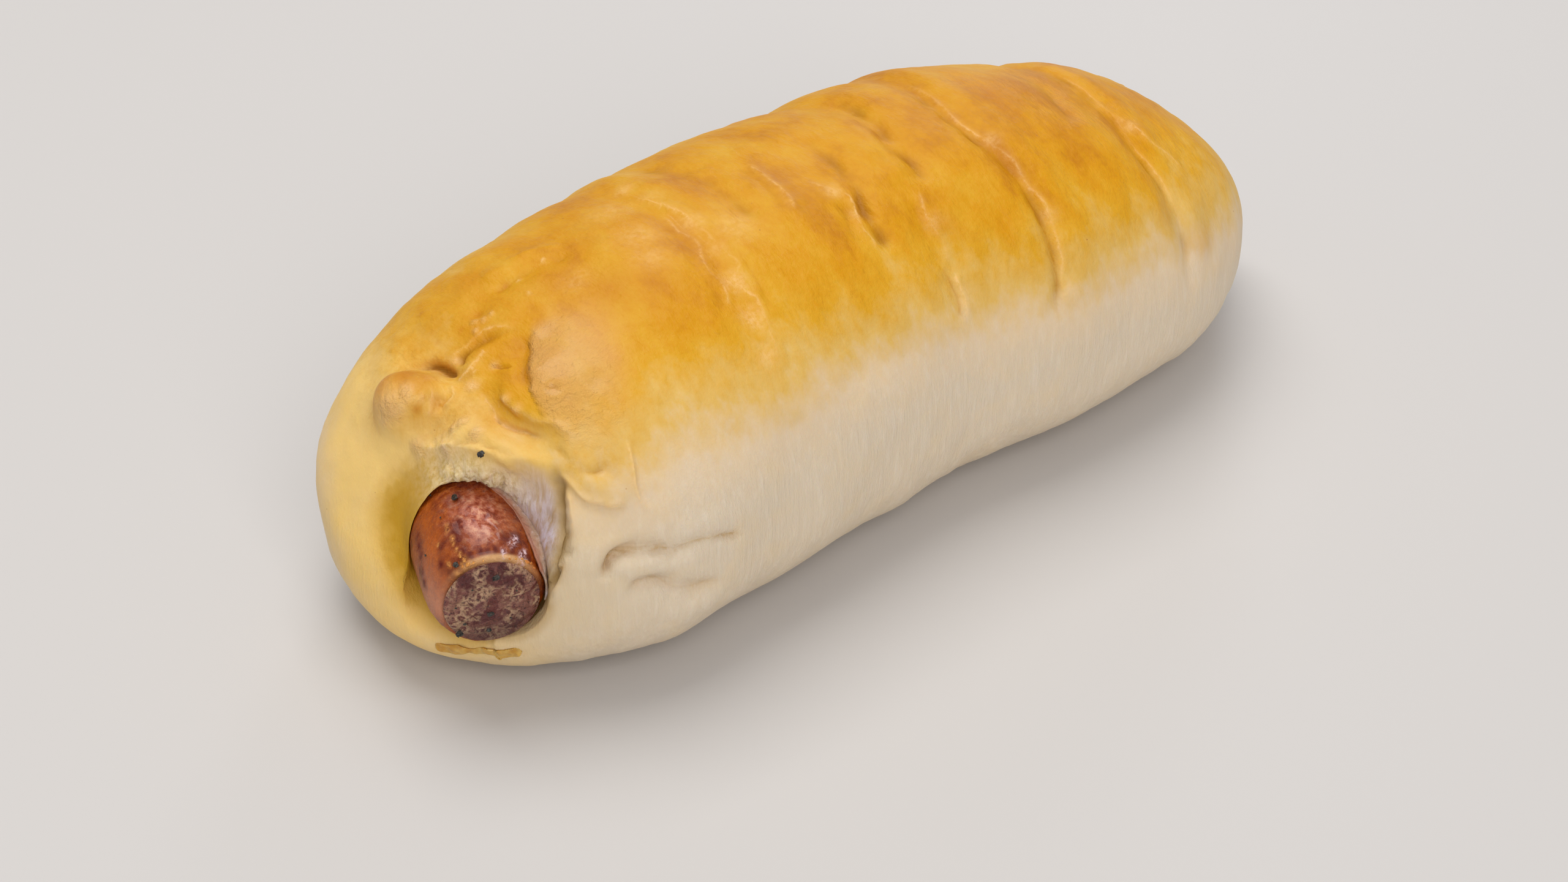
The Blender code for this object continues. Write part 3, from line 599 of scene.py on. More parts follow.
def paint(piece, **shares):
    """Store shares for each point, for the material to read."""
    for name, values in shares.items():
        layer = piece.data.attributes.new(name, "FLOAT", "POINT")
        layer.data.foreach_set("value", values.astype(np.float32))


def finish_piece(piece, material, slot, *solids):
    """Give a piece its material and its place in the frame."""
    piece.data.materials.clear()
    piece.data.materials.append(material)
    piece.data.shade_smooth()
    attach(piece, "root")
    if solids:
        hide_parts(*solids)


# Materials. A share is a number from 0 to 1 at each place, and a colour is three screen values
def new_material(name, roughness):
    """Material with its node tree and its shader, at one roughness."""
    material = bpy.data.materials.new(name)
    material.use_nodes = True
    shader = material.node_tree.nodes["Principled BSDF"]
    shader.inputs["Roughness"].default_value = roughness
    return material, material.node_tree, shader


def feed(socket, value):
    """Link a value to a socket, or set the socket to it."""
    if isinstance(value, bpy.types.NodeSocket):
        socket.id_data.links.new(value, socket)
    else:
        socket.default_value = tone(*value) if socket.type == "RGBA" and len(value) == 3 else value


def wire(shader, **values):
    """Feed the shader by the names of its sockets."""
    for name, value in values.items():
        feed(shader.inputs[name.replace("_", " ")], value)


def add_node(tree, kind, inputs=(), **options):
    """Add a node, set its options, and feed its inputs."""
    node = tree.nodes.new("ShaderNode" + kind)
    for option, value in options.items():
        setattr(node, option, value)
    for name, value in dict(inputs).items():
        feed(node.inputs[name], value)
    return node


def object_place(tree):
    """Place in the object's own coordinates."""
    return add_node(tree, "TexCoord").outputs["Object"]


def read(tree, name):
    """Read a painted share."""
    return add_node(tree, "Attribute", attribute_name=name).outputs["Fac"]


def spots(tree, size, detail=3.0, rough=0.5, stretch=(1.0, 1.0, 1.0)):
    """Soft random pattern with lumps of one size in millimetres."""
    scale = tuple(1.0 / (size * MM * part) for part in stretch)
    mapped = add_node(tree, "Mapping", {"Vector": object_place(tree), "Scale": scale}).outputs["Vector"]
    inputs = {"Vector": mapped, "Scale": 1.0, "Detail": detail, "Roughness": rough}
    return add_node(tree, "TexNoise", inputs).outputs["Fac"]


def ramp(factor, *stops):
    """Colours or shares along a factor."""
    node = add_node(factor.id_data, "ValToRGB", {"Fac": factor})
    band = node.color_ramp
    for index, (place, color) in enumerate(stops):
        stop = band.elements[index] if index < 2 else band.elements.new(place)
        stop.position = place
        stop.color = tone(*color) if isinstance(color, tuple) else (color, color, color, 1.0)
    return node.outputs["Color"]


def reckon(action, first, second=0.0, clamp=False):
    """Work out one share from two values, the first of them a share."""
    node = add_node(first.id_data, "Math", {0: first, 1: second}, operation=action, use_clamp=clamp)
    return node.outputs[0]


def times(first, second):
    """Product of a share and another value."""
    return reckon("MULTIPLY", first, second)


def lean(base, pattern, amount):
    """Shift a value up and down by a pattern."""
    return reckon("ADD", times(reckon("SUBTRACT", pattern, 0.5), amount), base)


def coat(tree, color, *coats):
    """Lay coats over a colour. Each has a share or the name of a painted one, its strength and a colour."""
    for share, strength, over in coats:
        share = read(tree, share) if isinstance(share, str) else share
        share = times(share, strength) if strength < 1.0 else share
        node = add_node(tree, "Mix", data_type="RGBA")
        for name, value in (("Factor", share), ("A", color), ("B", over)):
            feed(next(socket for socket in node.inputs if socket.name == name and socket.enabled), value)
        color = next(socket for socket in node.outputs if socket.enabled)
    return color


def relief(*heights):
    """Fine relief of several patterns, each with its depth in millimetres."""
    inputs = {"Strength": 1.0}
    for height, depth in heights:
        inputs.update({"Height": height, "Distance": depth * MM})
        inputs["Normal"] = add_node(height.id_data, "Bump", inputs).outputs["Normal"]
    return inputs["Normal"]


def soften(shader, weight, depth, radius):
    """Let light pass under the surface, to a depth in millimetres."""
    wire(shader, Subsurface_Weight=weight, Subsurface_Scale=depth * MM, Subsurface_Radius=radius)


def specks(tree, size, radius, share):
    """Sparse round dots of a radius in millimetres, one or none in each cell of a size."""
    cells = add_node(tree, "TexVoronoi", {"Vector": object_place(tree), "Scale": 1.0 / (size * MM)})
    reach = radius / size
    dot = ramp(cells.outputs["Distance"], (reach * 0.5, 1.0), (reach, 0.0))
    return times(dot, reckon("LESS_THAN", cells.outputs["Color"], share))


def line_share(tree, name, breadth, core):
    """Share of a line's colour: a soft breadth with a sharper core, both in millimetres, and its spots."""
    away = lean(read(tree, name + "_off"), spots(tree, 0.9, 4.0, 0.6), 0.4)
    away = reckon("ABSOLUTE", away)
    soft = ramp(away, (0.0, 0.45), (breadth / LINE_REACH, 0.0))
    sharp = ramp(away, (0.0, 0.6), (core / LINE_REACH, 0.0))
    line = times(reckon("ADD", soft, sharp), read(tree, name + "_line"))
    speckled = ramp(spots(tree, 0.9, 4.0, 0.7), (0.38, 0.35), (0.6, 1.0))
    return times(reckon("MAXIMUM", line, read(tree, name), clamp=True), speckled)


def crust_bake(tree, streaks):
    """How brown the crust is, with its soft patches and its streaks."""
    bake = read(tree, "bake")
    patches = spots(tree, 7.0, 4.0, stretch=(1.0, 1.8, 1.8))
    baked = lean(bake, patches, times(ramp(bake, (0.4, 0.3), (0.75, 1.0)), 0.75))
    baked = lean(baked, streaks, 0.16)
    return lean(baked, spots(tree, 1.8, 4.0, stretch=(1.0, 1.6, 1.6)), 0.22)


def crust_color(tree, baked, raw, streaks, wisps):
    """Colour of the crust: its bake, then its marks, the torn dough and the shade at the mouth."""
    shaded_pocket = read(tree, "shaded_pocket")
    yellow = lean(read(tree, "yellow"), spots(tree, 5.0), 0.5)
    mottled = lean(shaded_pocket, spots(tree, 2.6, 4.0), 0.5)
    color = ramp(
        baked,
        (0.0, (220, 202, 176)),
        (0.28, (223, 198, 163)),
        (0.5, (219, 177, 92)),
        (0.7, (215, 158, 30)),
        (0.85, (210, 145, 0)),
        (1.0, (193, 124, 0)),
    )
    golden = ramp(baked, (0.2, (190, 150, 70)), (0.6, (198, 134, 14)))
    rags = ramp(wisps, (0.35, (206, 182, 122)), (0.6, (255, 240, 208)))
    # wet dough tone, its bright lavender-white end a painted highlight
    wet_tone_and_highlights = ramp(streaks, (0.35, (186, 152, 122)), (0.6, (220, 208, 220)))
    # clinging film tone, its bright end a painted highlight
    film_tone_and_highlights = ramp(wisps, (0.35, (176, 140, 112)), (0.55, (192, 164, 146)), (0.7, (214, 200, 208)))
    return coat(
        tree, color,
        (times(raw, ramp(streaks, (0.48, 0.0), (0.72, 0.45))), 1.0, (232, 218, 198)),
        # painted glow of bounced light on the mouth's left
        (times(ramp(baked, (0.55, 1.0), (0.8, 0.15)), yellow), 1.0, (246, 206, 124)),
        (times(read(tree, "cream"), raw), 0.45, (214, 186, 134)),
        (line_share(tree, "gold", 1.2, 0.4), 0.8, golden),
        (line_share(tree, "pale", 1.3, 0.35), 0.65, (244, 200, 136)),
        ("brown", 0.65, (190, 114, 0)),
        # painted shade in the deep creases
        (times(read(tree, "crease_shade"), ramp(baked, (0.2, 0.2), (0.6, 0.8))), 1.0, (150, 92, 0)),
        # painted highlight on the glossy places
        ("sheen", 0.5, (232, 178, 104)),
        # painted shade in the pocket, mottled darker near the link
        (ramp(shaded_pocket, (0.15, 0.0), (0.6, 0.9)), 1.0, (212, 168, 74)),
        (ramp(mottled, (0.5, 0.0), (0.9, 0.95)), 1.0, (190, 143, 30)),
        ("torn", 1.0, rags),
        ("wet", 1.0, wet_tone_and_highlights),
        ("film", 1.0, film_tone_and_highlights),
        ("stain", 0.8, (172, 106, 80)),
        # painted shade in the groove on the right and by the link's foot
        ("shade", 0.9, (146, 112, 56)),
        ("contact_shade", 0.9, (160, 120, 48)),
        (specks(tree, 5.0, 0.16, 0.5), 0.7, (168, 104, 52)),
    )


def crust_material():
    """Egg-washed crust, from cream sides to a golden brown top."""
    material, tree, shader = new_material("golden_crust", 0.5)
    sheen, wet, torn = (read(tree, name) for name in ("sheen", "wet", "torn"))
    streaks = spots(tree, 0.8, 5.0, 0.6, stretch=(1.0, 1.0, 8.0))
    fibres = spots(tree, 0.35, 3.0, 0.6, stretch=(1.0, 1.0, 5.0))
    wisps = spots(tree, 0.7, 5.0, 0.65, stretch=(1.0, 1.0, 1.8))
    baked = crust_bake(tree, streaks)
    raw = ramp(baked, (0.1, 1.0), (0.5, 0.0))
    brown_part = ramp(baked, (0.35, 0.0), (0.8, 1.0))
    rough = lean(0.6, spots(tree, 2.5), 0.2)
    rough = reckon("SUBTRACT", rough, times(brown_part, 0.1))
    rough = reckon("SUBTRACT", rough, times(wet, 0.25), clamp=True)
    normal = relief(
        (times(spots(tree, 1.7, 4.0, 0.6, stretch=(1.0, 2.0, 2.0)), brown_part), 0.45),
        (times(spots(tree, 1.3, 5.0, 0.65, stretch=(1.5, 1.0, 1.0)), sheen), 0.9),
        (times(fibres, raw), 0.1),
        (times(streaks, raw), 0.16),
        (times(wisps, torn), 0.5),
        (spots(tree, 0.4, 4.0), 0.03),
    )
    gloss = reckon("ADD", times(sheen, 0.45), times(wet, 0.6), clamp=True)
    wire(shader, Base_Color=crust_color(tree, baked, raw, streaks, wisps), Roughness=rough, Normal=normal)
    wire(shader, Coat_Weight=gloss, Coat_Roughness=0.22, Specular_IOR_Level=0.22)
    soften(shader, 0.12, 2.0, (1.0, 0.5, 0.2))
    return material


def casing_material():
    """Smoked casing, greasy, with a pink painted sheen and glints over the top."""
    material, tree, shader = new_material("smoked_casing", 0.3)
    patches = spots(tree, 2.4, 5.0, 0.65, stretch=(1.0, 1.0, 1.6))
    grain = spots(tree, 0.7, 4.0, 0.65)
    fine_grain = spots(tree, 0.35, 3.0, 0.6)
    folds = spots(tree, 1.0, 4.0, 0.6, stretch=(1.0, 1.0, 1.8))
    streaky = ramp(spots(tree, 0.9, 4.0, 0.6), (0.3, 0.5), (0.55, 1.0))
    color = ramp(
        patches,
        (0.32, (78, 16, 0)),
        (0.45, (122, 46, 4)),
        (0.58, (154, 72, 6)),
        (0.72, (132, 56, 20)),
    )
    # painted sheen: a painted highlight on the folds' crests and painted shade in their hollows
    pink = ramp(folds, (0.34, (128, 44, 34)), (0.5, (188, 110, 88)), (0.66, (234, 174, 142)))
    color = coat(
        tree, color,
        (ramp(grain, (0.55, 0.0), (0.72, 0.6)), 1.0, (196, 112, 44)),
        (ramp(grain, (0.28, 0.7), (0.42, 0.0)), 1.0, (80, 22, 18)),
        ("orange", 0.6, (182, 92, 24)),
        ("low", 0.8, (204, 142, 112)),
        # painted pink sheen
        (times(read(tree, "pink"), ramp(patches, (0.3, 0.6), (0.5, 1.0))), 1.0, pink),
        # smoke streaks, and a painted shadow line above the rim
        (times(read(tree, "smoke_and_shadow"), streaky), 1.0, (90, 22, 14)),
        (times(read(tree, "amber"), ramp(fine_grain, (0.4, 0.3), (0.55, 1.0))), 1.0, (226, 156, 82)),
        ("rim", 0.9, (238, 186, 128)),
        # painted glints of reflected light
        (times(read(tree, "glint"), ramp(fine_grain, (0.42, 0.1), (0.56, 1.0))), 1.0, (236, 206, 212)),
    )
    normal = relief((folds, 0.35), (grain, 0.12))
    wire(shader, Base_Color=color, Roughness=lean(0.34, patches, 0.3), Normal=normal)
    wire(shader, Coat_Weight=times(read(tree, "grease"), 0.8), Coat_Roughness=0.12, Specular_IOR_Level=0.12)
    soften(shader, 0.1, 1.5, (1.0, 0.35, 0.2))
    return material


def meat_material():
    """Coarse cut meat: purple-brown chunks in beige fat, pitted and moist."""
    material, tree, shader = new_material("cut_meat", 0.42)
    place = object_place(tree)
    swirl = add_node(tree, "TexNoise", {"Vector": place, "Scale": 1.0 / (0.9 * MM), "Detail": 3.0})
    bent = add_node(tree, "VectorMath", {0: swirl.outputs["Color"], 1: (0.5, 0.5, 0.5)}, operation="SUBTRACT")
    shift = add_node(tree, "VectorMath", {0: bent.outputs[0], "Scale": 0.7 * MM}, operation="SCALE")
    moved = add_node(tree, "VectorMath", {0: place, 1: shift.outputs[0]}, operation="ADD").outputs[0]
    chunks = add_node(tree, "TexVoronoi", {"Vector": moved, "Scale": 1.0 / (2.1 * MM)})
    inputs = {"Vector": moved, "Scale": 1.0 / (1.2 * MM)}
    seams = add_node(tree, "TexVoronoi", inputs, feature="DISTANCE_TO_EDGE").outputs["Distance"]
    patchy = ramp(spots(tree, 2.6), (0.44, 0.0), (0.6, 0.9))
    crumbs = spots(tree, 0.45, 4.0, 0.7)
    color = ramp(
        chunks.outputs["Color"],
        (0.25, (92, 36, 32)),
        (0.4, (124, 70, 60)),
        (0.55, (102, 44, 36)),
        (0.7, (140, 90, 74)),
        (0.85, (112, 60, 56)),
    )
    color = coat(
        tree, color,
        (times(ramp(seams, (0.05, 1.0), (0.2, 0.0)), patchy), 1.0, (186, 148, 116)),
        (times(ramp(crumbs, (0.5, 0.0), (0.64, 1.0)), patchy), 1.0, (190, 152, 118)),
        (ramp(crumbs, (0.34, 0.9), (0.46, 0.0)), 1.0, (54, 20, 20)),
        # painted shade, darker towards the bottom
        ("low", 0.55, (64, 26, 18)),
    )
    wire(shader, Base_Color=color, Normal=relief((seams, 0.5), (crumbs, 0.3)))
    soften(shader, 0.1, 1.2, (1.0, 0.4, 0.3))
    return material


def pepper_material():
    """Cracked black pepper."""
    material, tree, shader = new_material("black_pepper", 0.5)
    wire(shader, Base_Color=ramp(spots(tree, 0.3), (0.4, (22, 20, 18)), (0.7, (70, 62, 50))))
    return material


def fat_material(name, dark, light):
    """Amber cooked fat between two colours."""
    material, tree, shader = new_material(name, 0.25)
    wire(shader, Base_Color=ramp(spots(tree, 1.5), (0.35, dark), (0.65, light)))
    wire(shader, Normal=relief((spots(tree, 0.8), 0.15)))
    soften(shader, 0.35, 1.5, (1.0, 0.6, 0.2))
    return material


# Bun
def turn_of(points):
    """Turn of each point round the bun, in degrees from the crown down the right side."""
    return np.degrees(np.arctan2(-points[:, 1], points[:, 2] - SPINE_LEVEL))


def curve_through(stops, steps):
    """Smooth line through a few stops."""
    stops = np.asarray(stops, float)
    padded = np.vstack((2 * stops[0] - stops[1], stops, 2 * stops[-1] - stops[-2]))
    line = []
    for index in range(len(stops) - 1):
        a, b, c, d = padded[index:index + 4]
        for step in range(steps):
            share = step / steps
            bend = 2 * b + (c - a) * share + (2 * a - 5 * b + 4 * c - d) * share ** 2
            line.append((bend + (3 * b - a - 3 * c + d) * share ** 3) / 2)
    return np.array(line + [stops[-1]])


def skin_gap(points, turns, place, turn):
    """How far each point is over the skin from a place along the bun and a turn round it."""
    return np.hypot(points[:, 0] - place, (turns - turn) * DEGREE_RUN)


def on_skin(points, route):
    """Spots on the skin along a route."""
    turns = turn_of(points)
    return [points[skin_gap(points, turns, *stop).argmin()] for stop in route]


def along_route(points, normals, line, reach):
    """Points near a line: which they are, how far to its left, how far along, and its nearest spot."""
    low, high = line.min(0) - reach, line.max(0) + reach
    near = np.flatnonzero(np.all((points > low) & (points < high), axis=1))
    around = points[near]
    gap = np.full(len(near), np.inf)
    side = np.zeros(len(near))
    share = np.zeros(len(near))
    nearest = np.zeros((len(near), 3))
    for index in range(len(line) - 1):
        run = line[index + 1] - line[index]
        step = np.clip((around - line[index]) @ run / (run @ run), 0.0, 1.0)
        spot = line[index] + step[:, None] * run
        off = around - spot
        length = np.linalg.norm(off, axis=1)
        closer = length < gap
        leftward = np.einsum("ij,ij->i", np.cross(run, off), normals[near])
        gap = np.where(closer, length, gap)
        side = np.where(closer, np.sign(leftward), side)
        share = np.where(closer, (index + step) / (len(line) - 1), share)
        nearest = np.where(closer[:, None], spot, nearest)
    kept = gap < reach
    return near[kept], (gap * side)[kept], share[kept], nearest[kept]


def press_marks(points, normals, skin, marks, looks):
    """Press marks into the dough, and add the pale and golden lines along them."""
    height = np.zeros(len(points))
    pulled = np.zeros_like(points)
    nearest_line = {name: np.full(len(points), np.inf) for name in ("pale", "gold")}
    wiggle = WIGGLE * drift(points, 2.2, 5.0)
    base, change = MARK_STRENGTH
    strength = np.clip(base + change * drift(points, 4.0, 6.0), *MARK_LIMITS)
    for width, left, middle, right, pale, gold, route in marks:
        line = curve_through(on_skin(points[skin], route), ROUTE_STEPS)
        near, off, share, nearest = along_route(points, normals, line, max(MARK_REACH * width, LINE_REACH))
        off = off + wiggle[near]
        fade = strength[near] * between(share, 0.0, MARK_TAPER, 1.0, MARK_TAPER) * skin[near]
        on_left, on_right = (hump(off / width, shift, RIM_SPREAD) for shift in (RIM_OFFSET, -RIM_OFFSET))
        height[near] += fade * (left * on_left + middle * bell(off / width) + right * on_right)
        pulled[near] += (PINCH * fade * bell(off / width / PINCH_SPREAD))[:, None] * (nearest - points[near])
        for name, amount in (("pale", pale), ("gold", gold)):
            closer = (np.abs(off) < nearest_line[name][near]) & (amount > 0.0)
            there = near[closer]
            nearest_line[name][there] = np.abs(off[closer])
            looks[name + "_off"][there] = off[closer] / LINE_REACH
            looks[name + "_line"][there] = (amount * fade * bell(off / LINE_FADE))[closer]
    return height, pulled - normals * np.einsum("ij,ij->i", pulled, normals)[:, None]


def press_spots(points, looks):
    """Raise or sink round spots, and add how pale, golden, brown and glossy they are."""
    height = np.zeros(len(points))
    for *middle, radius, lift, pale, gold, brown, sheen in SPOTS:
        inside = bell(np.linalg.norm(points - middle, axis=1) / radius)
        height += lift * inside
        for name, amount in (("pale", pale), ("gold", gold), ("brown", brown), ("sheen", sheen)):
            looks[name] = np.maximum(looks[name], amount * inside)
    for *middle, radius, lift in DOMES:
        share = np.linalg.norm(points - middle, axis=1) / radius
        height += lift * np.clip(1.0 - share ** 2, 0.0, 1.0) ** DOME_CURVE
    turns = turn_of(points)
    for name, patches in (("brown", BLOTCHES), ("pale", PALE_PATCHES)):
        for place, turn, radius, amount in patches:
            share = bell(skin_gap(points, turns, place, turn) / radius)
            looks[name] = np.maximum(looks[name], amount * share)
    return height


def bake_of(points):
    """How brown the crust is, from cream at 0 to brown at 1."""
    near_left = rise(points[:, 0], *LEFT_RUN) * rise(points[:, 1], *LEFT_SIDE)
    edge = course(points[:, 0], BROWN_EDGE)
    fade = BROWN_FADE + LEFT_FADE * near_left
    bake = 0.5 + (points[:, 2] - edge + LEFT_EDGE_DROP * near_left) / fade * BROWN_STEP
    over = np.maximum(bake - BAKE_KNEE, 0.0)
    return np.minimum(bake, BAKE_KNEE) + BAKE_ROOM * (1.0 - np.exp(-over / BAKE_ROOM))


def gloss_of(points):
    """Share of the glossy patch on the near end's right shoulder, which also gets a painted highlight tone.
    """
    places = points[:, 0]
    turns = turn_of(points) + GLOSS_WANDER * drift(points, 3.0, 71.0)
    crisp, softer = GLOSS_EDGE
    crisp = crisp + softer * rise(places, *GLOSS_EDGE_RUN)
    fading = 1.0 - GLOSS_LOSS * rise(places, *GLOSS_LOSS_RUN)
    past, fade = GLOSS_FOOT_FADE
    over_foot = rise(turns, course(places, GLOSS_FOOT) + past, -fade)
    return between(places, *GLOSS_ENDS) * fading * rise(turns, course(places, GLOSS_TOP), crisp) * over_foot


def near_mouth(points):
    """Shares for the near mouth.

    They are the pocket on its left with painted shade in it, the wet wall with painted highlights and its
    groove with painted shade on the right, torn dough on top, the yellow of its rim on the left, which is a
    painted glow of bounced light, the cream of it on the right, and the painted shade by the link's foot.
    """
    along, angle, clearance = link_measure(points)
    from_tip = LINK_LENGTH - along
    near = points[:, 0] < MOUTH_BACK
    leftness = (1.0 + np.cos(np.radians(angle))) / 2.0
    open_side = between(from_tip, *MOUTH_RUN) * near
    groove = course(angle, GROOVE_COURSE) + GROOVE_WANDER * drift(points, 1.6, 14.0)
    inset, run = WALL_BAND
    torn = hump(angle, *TORN_ARC) * hump(clearance, *TORN_BAND) * rise(from_tip, *TORN_RUN)
    # painted shade where the dough meets the link's foot
    contact_shade = rise(clearance, *SHADE_BAND) * between(angle, *SHADE_ARC) * rise(from_tip, *SHADE_RUN)
    return {
        "shaded_pocket": leftness * rise(clearance, POCKET_REACH, -POCKET_REACH) * open_side,
        "wet": hump(angle, *WET_ARC) * ease((groove - inset - clearance) / run) * near,
        "torn": torn * open_side,
        "yellow": leftness * rise(points[:, 0], *YELLOW_RUN) * rise(clearance, *YELLOW_BAND),
        "cream": (1.0 - leftness) * bell(clearance / CREAM_BAND) * near,
        "shade": hump(clearance, groove, GROOVE_WIDTH) * between(angle, *GROOVE_ARC) * near,
        "contact_shade": contact_shade * near,
    }


def close_mouth(points):
    """Draw the dough in to the link at both mouths."""
    along, _, clearance = link_measure(points)
    distances, middles, _ = link_samples()
    outward = points - np.column_stack([np.interp(along, distances, middles[:, axis]) for axis in range(3)])
    outward /= np.linalg.norm(outward, axis=1)[:, None]
    inside = between(np.minimum(along, LINK_LENGTH - along), *CONTACT_RUN)
    drawn = inside * rise(clearance, CONTACT_REACH, -CONTACT_REACH) * (clearance - CONTACT_GAP)
    return points - outward * np.maximum(drawn, 0.0)[:, None]


def make_crust():
    """Crust of the bun, its folds and puckers. Its material is given back, for the film."""
    crust = joined_copy("bun", "crust")
    modify(crust, "SUBSURF", levels=CRUST_LEVELS)
    points, normals = points_of(crust), normals_of(crust)
    skin = rise(link_measure(points)[2], *SKIN_BAND)
    shown = (skin > 0.5) & (points[:, 2] > FOOT_HEIGHT)
    names = ("pale", "gold", "brown", "sheen", "pale_off", "gold_off", "pale_line", "gold_line")
    looks = {name: np.zeros(len(points)) for name in names}
    far_marks = [
        (*mark, [(FAR_FLIP - place, -turn - FAR_TURN) for place, turn in route]) for *mark, route in PUCKERS
    ]
    height, pulled = press_marks(points, normals, shown, [*FOLDS, *PUCKERS, *far_marks], looks)
    # Painted shade darkens the crust where the marks sink deep
    looks["crease_shade"] = ease(-height - CREASE_SHADE_START)
    height += press_spots(points, looks) + lumpy(points, LUMPS)
    mouth = near_mouth(points)
    height -= POCKET_DEPTH * mouth["shaded_pocket"] + GROOVE_DEPTH * mouth["shade"]
    rags = np.abs(drift(points, (1.8, 1.8, 2.6), 8.0)) + TORN_CRUMBS * np.abs(drift(points, 0.9, 9.0))
    height += TORN_RELIEF * mouth["torn"] * (rags - TORN_LEVEL)
    reach = (skin * ease(points[:, 2] / FOOT_FADE))[:, None]
    low, high = np.array(SOLID_BOX) / MM
    moved = np.clip(close_mouth(points + reach * (pulled + height[:, None] * normals)), low, high)
    set_points(crust, moved)
    drawn = near_mouth(moved)
    mouth.update({name: drawn[name] for name in ("shaded_pocket", "contact_shade")})
    looks["bake"] = bake_of(points)
    looks["sheen"] = np.maximum(looks["sheen"], gloss_of(points))
    paint(crust, **looks, **mouth)
    material = crust_material()
    finish_piece(crust, material, "crust", "bun")
    return material


def make_film(material):
    """Wet torn dough that clings to the casing on the right of the near mouth."""
    sizes = {"x_subdivisions": FILM_STEPS, "y_subdivisions": FILM_STEPS, "size": MM}
    film = new_piece(bpy.ops.mesh.primitive_grid_add, "film", **sizes)
    across, down = (points_of(film)[:, :2] + 0.5).T
    from_tip = FILM_END + (FILM_START - FILM_END) * down
    border = course(from_tip, FILM_EDGE)
    angle = border + (FILM_SIDE - border) * across
    placed, facings = (np.array(part) for part in zip(*map(link_spot, from_tip, angle)))
    inside = rise(angle, border, FILM_EDGE_FADE) * rise(across, 1.0, -FILM_TAPER)
    inside = inside * between(down, 0.0, FILM_FAR_TAPER, 1.0, FILM_TAPER)
    ragged = FILM_RAG * lumpy(placed, FILM_LUMPS) * ease(inside / FILM_TAPER)
    lift = FILM_SINK + (FILM_LIFT - FILM_SINK) * inside + ragged
    set_points(film, placed + lift[:, None] * facings)
    paint(film, film=np.full(len(placed), FILM_COVER), stain=1.0 - rise(angle - border, *FILM_STAIN))
    modify(film, "SOLIDIFY", thickness=FILM_THICKNESS * MM)
    face_outward(film)
    finish_piece(film, material, "crust")


# Link
def link_radius(distance):
    """Radius of the link, rounded in to the cut at each tip."""
    share = min(max(min(distance, LINK_LENGTH - distance) / LINK_TAPER, 0.0), 1.0)
    return CUT_RADIUS + (LINK_RADIUS - CUT_RADIUS) * math.sqrt(share * (2.0 - share))


def link_place(distance):
    """Middle of the link and the way it runs, at a distance from the far tip."""
    run = LINK_FAR_TIP - CURL_START
    heading = min(max((distance - run) / CURL_RADIUS, 0.0), CURL_ANGLE)
    tip = max(distance - run - CURL_RADIUS * CURL_ANGLE, 0.0)
    x = LINK_FAR_TIP - min(distance, run)
    x -= CURL_RADIUS * math.sin(heading) + tip * math.cos(heading)
    y = LINK_SHIFT - CURL_RADIUS * (1.0 - math.cos(heading)) - tip * math.sin(heading)
    near_share = max(distance - run, 0.0) / (LINK_LENGTH - run)
    far_share = max(1.0 - distance / FAR_DROP_RUN, 0.0)
    return np.array((x, y, LINK_LEVEL - NEAR_DROP * near_share ** 2 - FAR_DROP * far_share ** 2)), heading


def link_samples():
    """Distances along the link from the far tip, with its middle and its heading at each."""
    distances = np.linspace(0.0, LINK_LENGTH, LINK_CHECKS)
    middles, headings = zip(*map(link_place, distances))
    return distances, np.array(middles), np.array(headings)


def link_measure(points):
    """Distance along the link, angle round it and distance from its surface, for each point.

    The angle is in degrees, 0 on the left, 90 on top, 180 on the right.
    """
    distances, middles, headings = link_samples()
    squares = (points ** 2).sum(1)[:, None] - 2.0 * points @ middles.T + (middles ** 2).sum(1)[None, :]
    nearest = squares.argmin(1)
    off = points - middles[nearest]
    left = np.column_stack((-np.sin(headings), np.cos(headings)))[nearest]
    angle = np.degrees(np.arctan2(off[:, 2], (off[:, :2] * left).sum(1))) % 360.0
    radii = np.array([link_radius(distance) for distance in distances])
    return distances[nearest], angle, np.linalg.norm(off, axis=1) - radii[nearest]


def link_spot(from_tip, angle):
    """Spot on the casing and the way it faces there, from the near tip and round the link."""
    along = LINK_LENGTH - from_tip
    middle, heading = link_place(along)
    turn = math.radians(angle)
    left = np.array((-math.sin(heading), math.cos(heading), 0.0))
    facing = math.cos(turn) * left + math.sin(turn) * UP
    return middle + link_radius(along) * facing, facing


def link_tip(far):
    """Middle of a cut, the way it faces, and the way to its left."""
    middle, heading = link_place(0.0 if far else LINK_LENGTH)
    back = np.array((math.cos(heading), math.sin(heading), 0.0))
    return middle, back if far else -back, np.array((-math.sin(heading), math.cos(heading), 0.0))


def inset_cuts(casing):
    """Give the skin a crisp edge round each cut."""
    tips = [link_tip(far) for far in (False, True)]
    for polygon in casing.data.polygons:
        place = np.array(polygon.center) / MM
        polygon.select = any(abs((place - middle) @ outward) < CUT_CHECK for middle, outward, _ in tips)
    pick(casing)
    bpy.ops.object.mode_set(mode="EDIT")
    bpy.ops.mesh.select_mode(type="FACE")
    bpy.ops.mesh.inset(thickness=SKIN_EDGE * MM)
    bpy.ops.object.mode_set(mode="OBJECT")
    points = points_of(casing)
    sunk = {index for polygon in casing.data.polygons if polygon.select for index in polygon.vertices}
    for index in sunk:
        points[index] -= CUT_SINK * tips[int(points[index, 0] > 0.0)][1]
    set_points(casing, points)


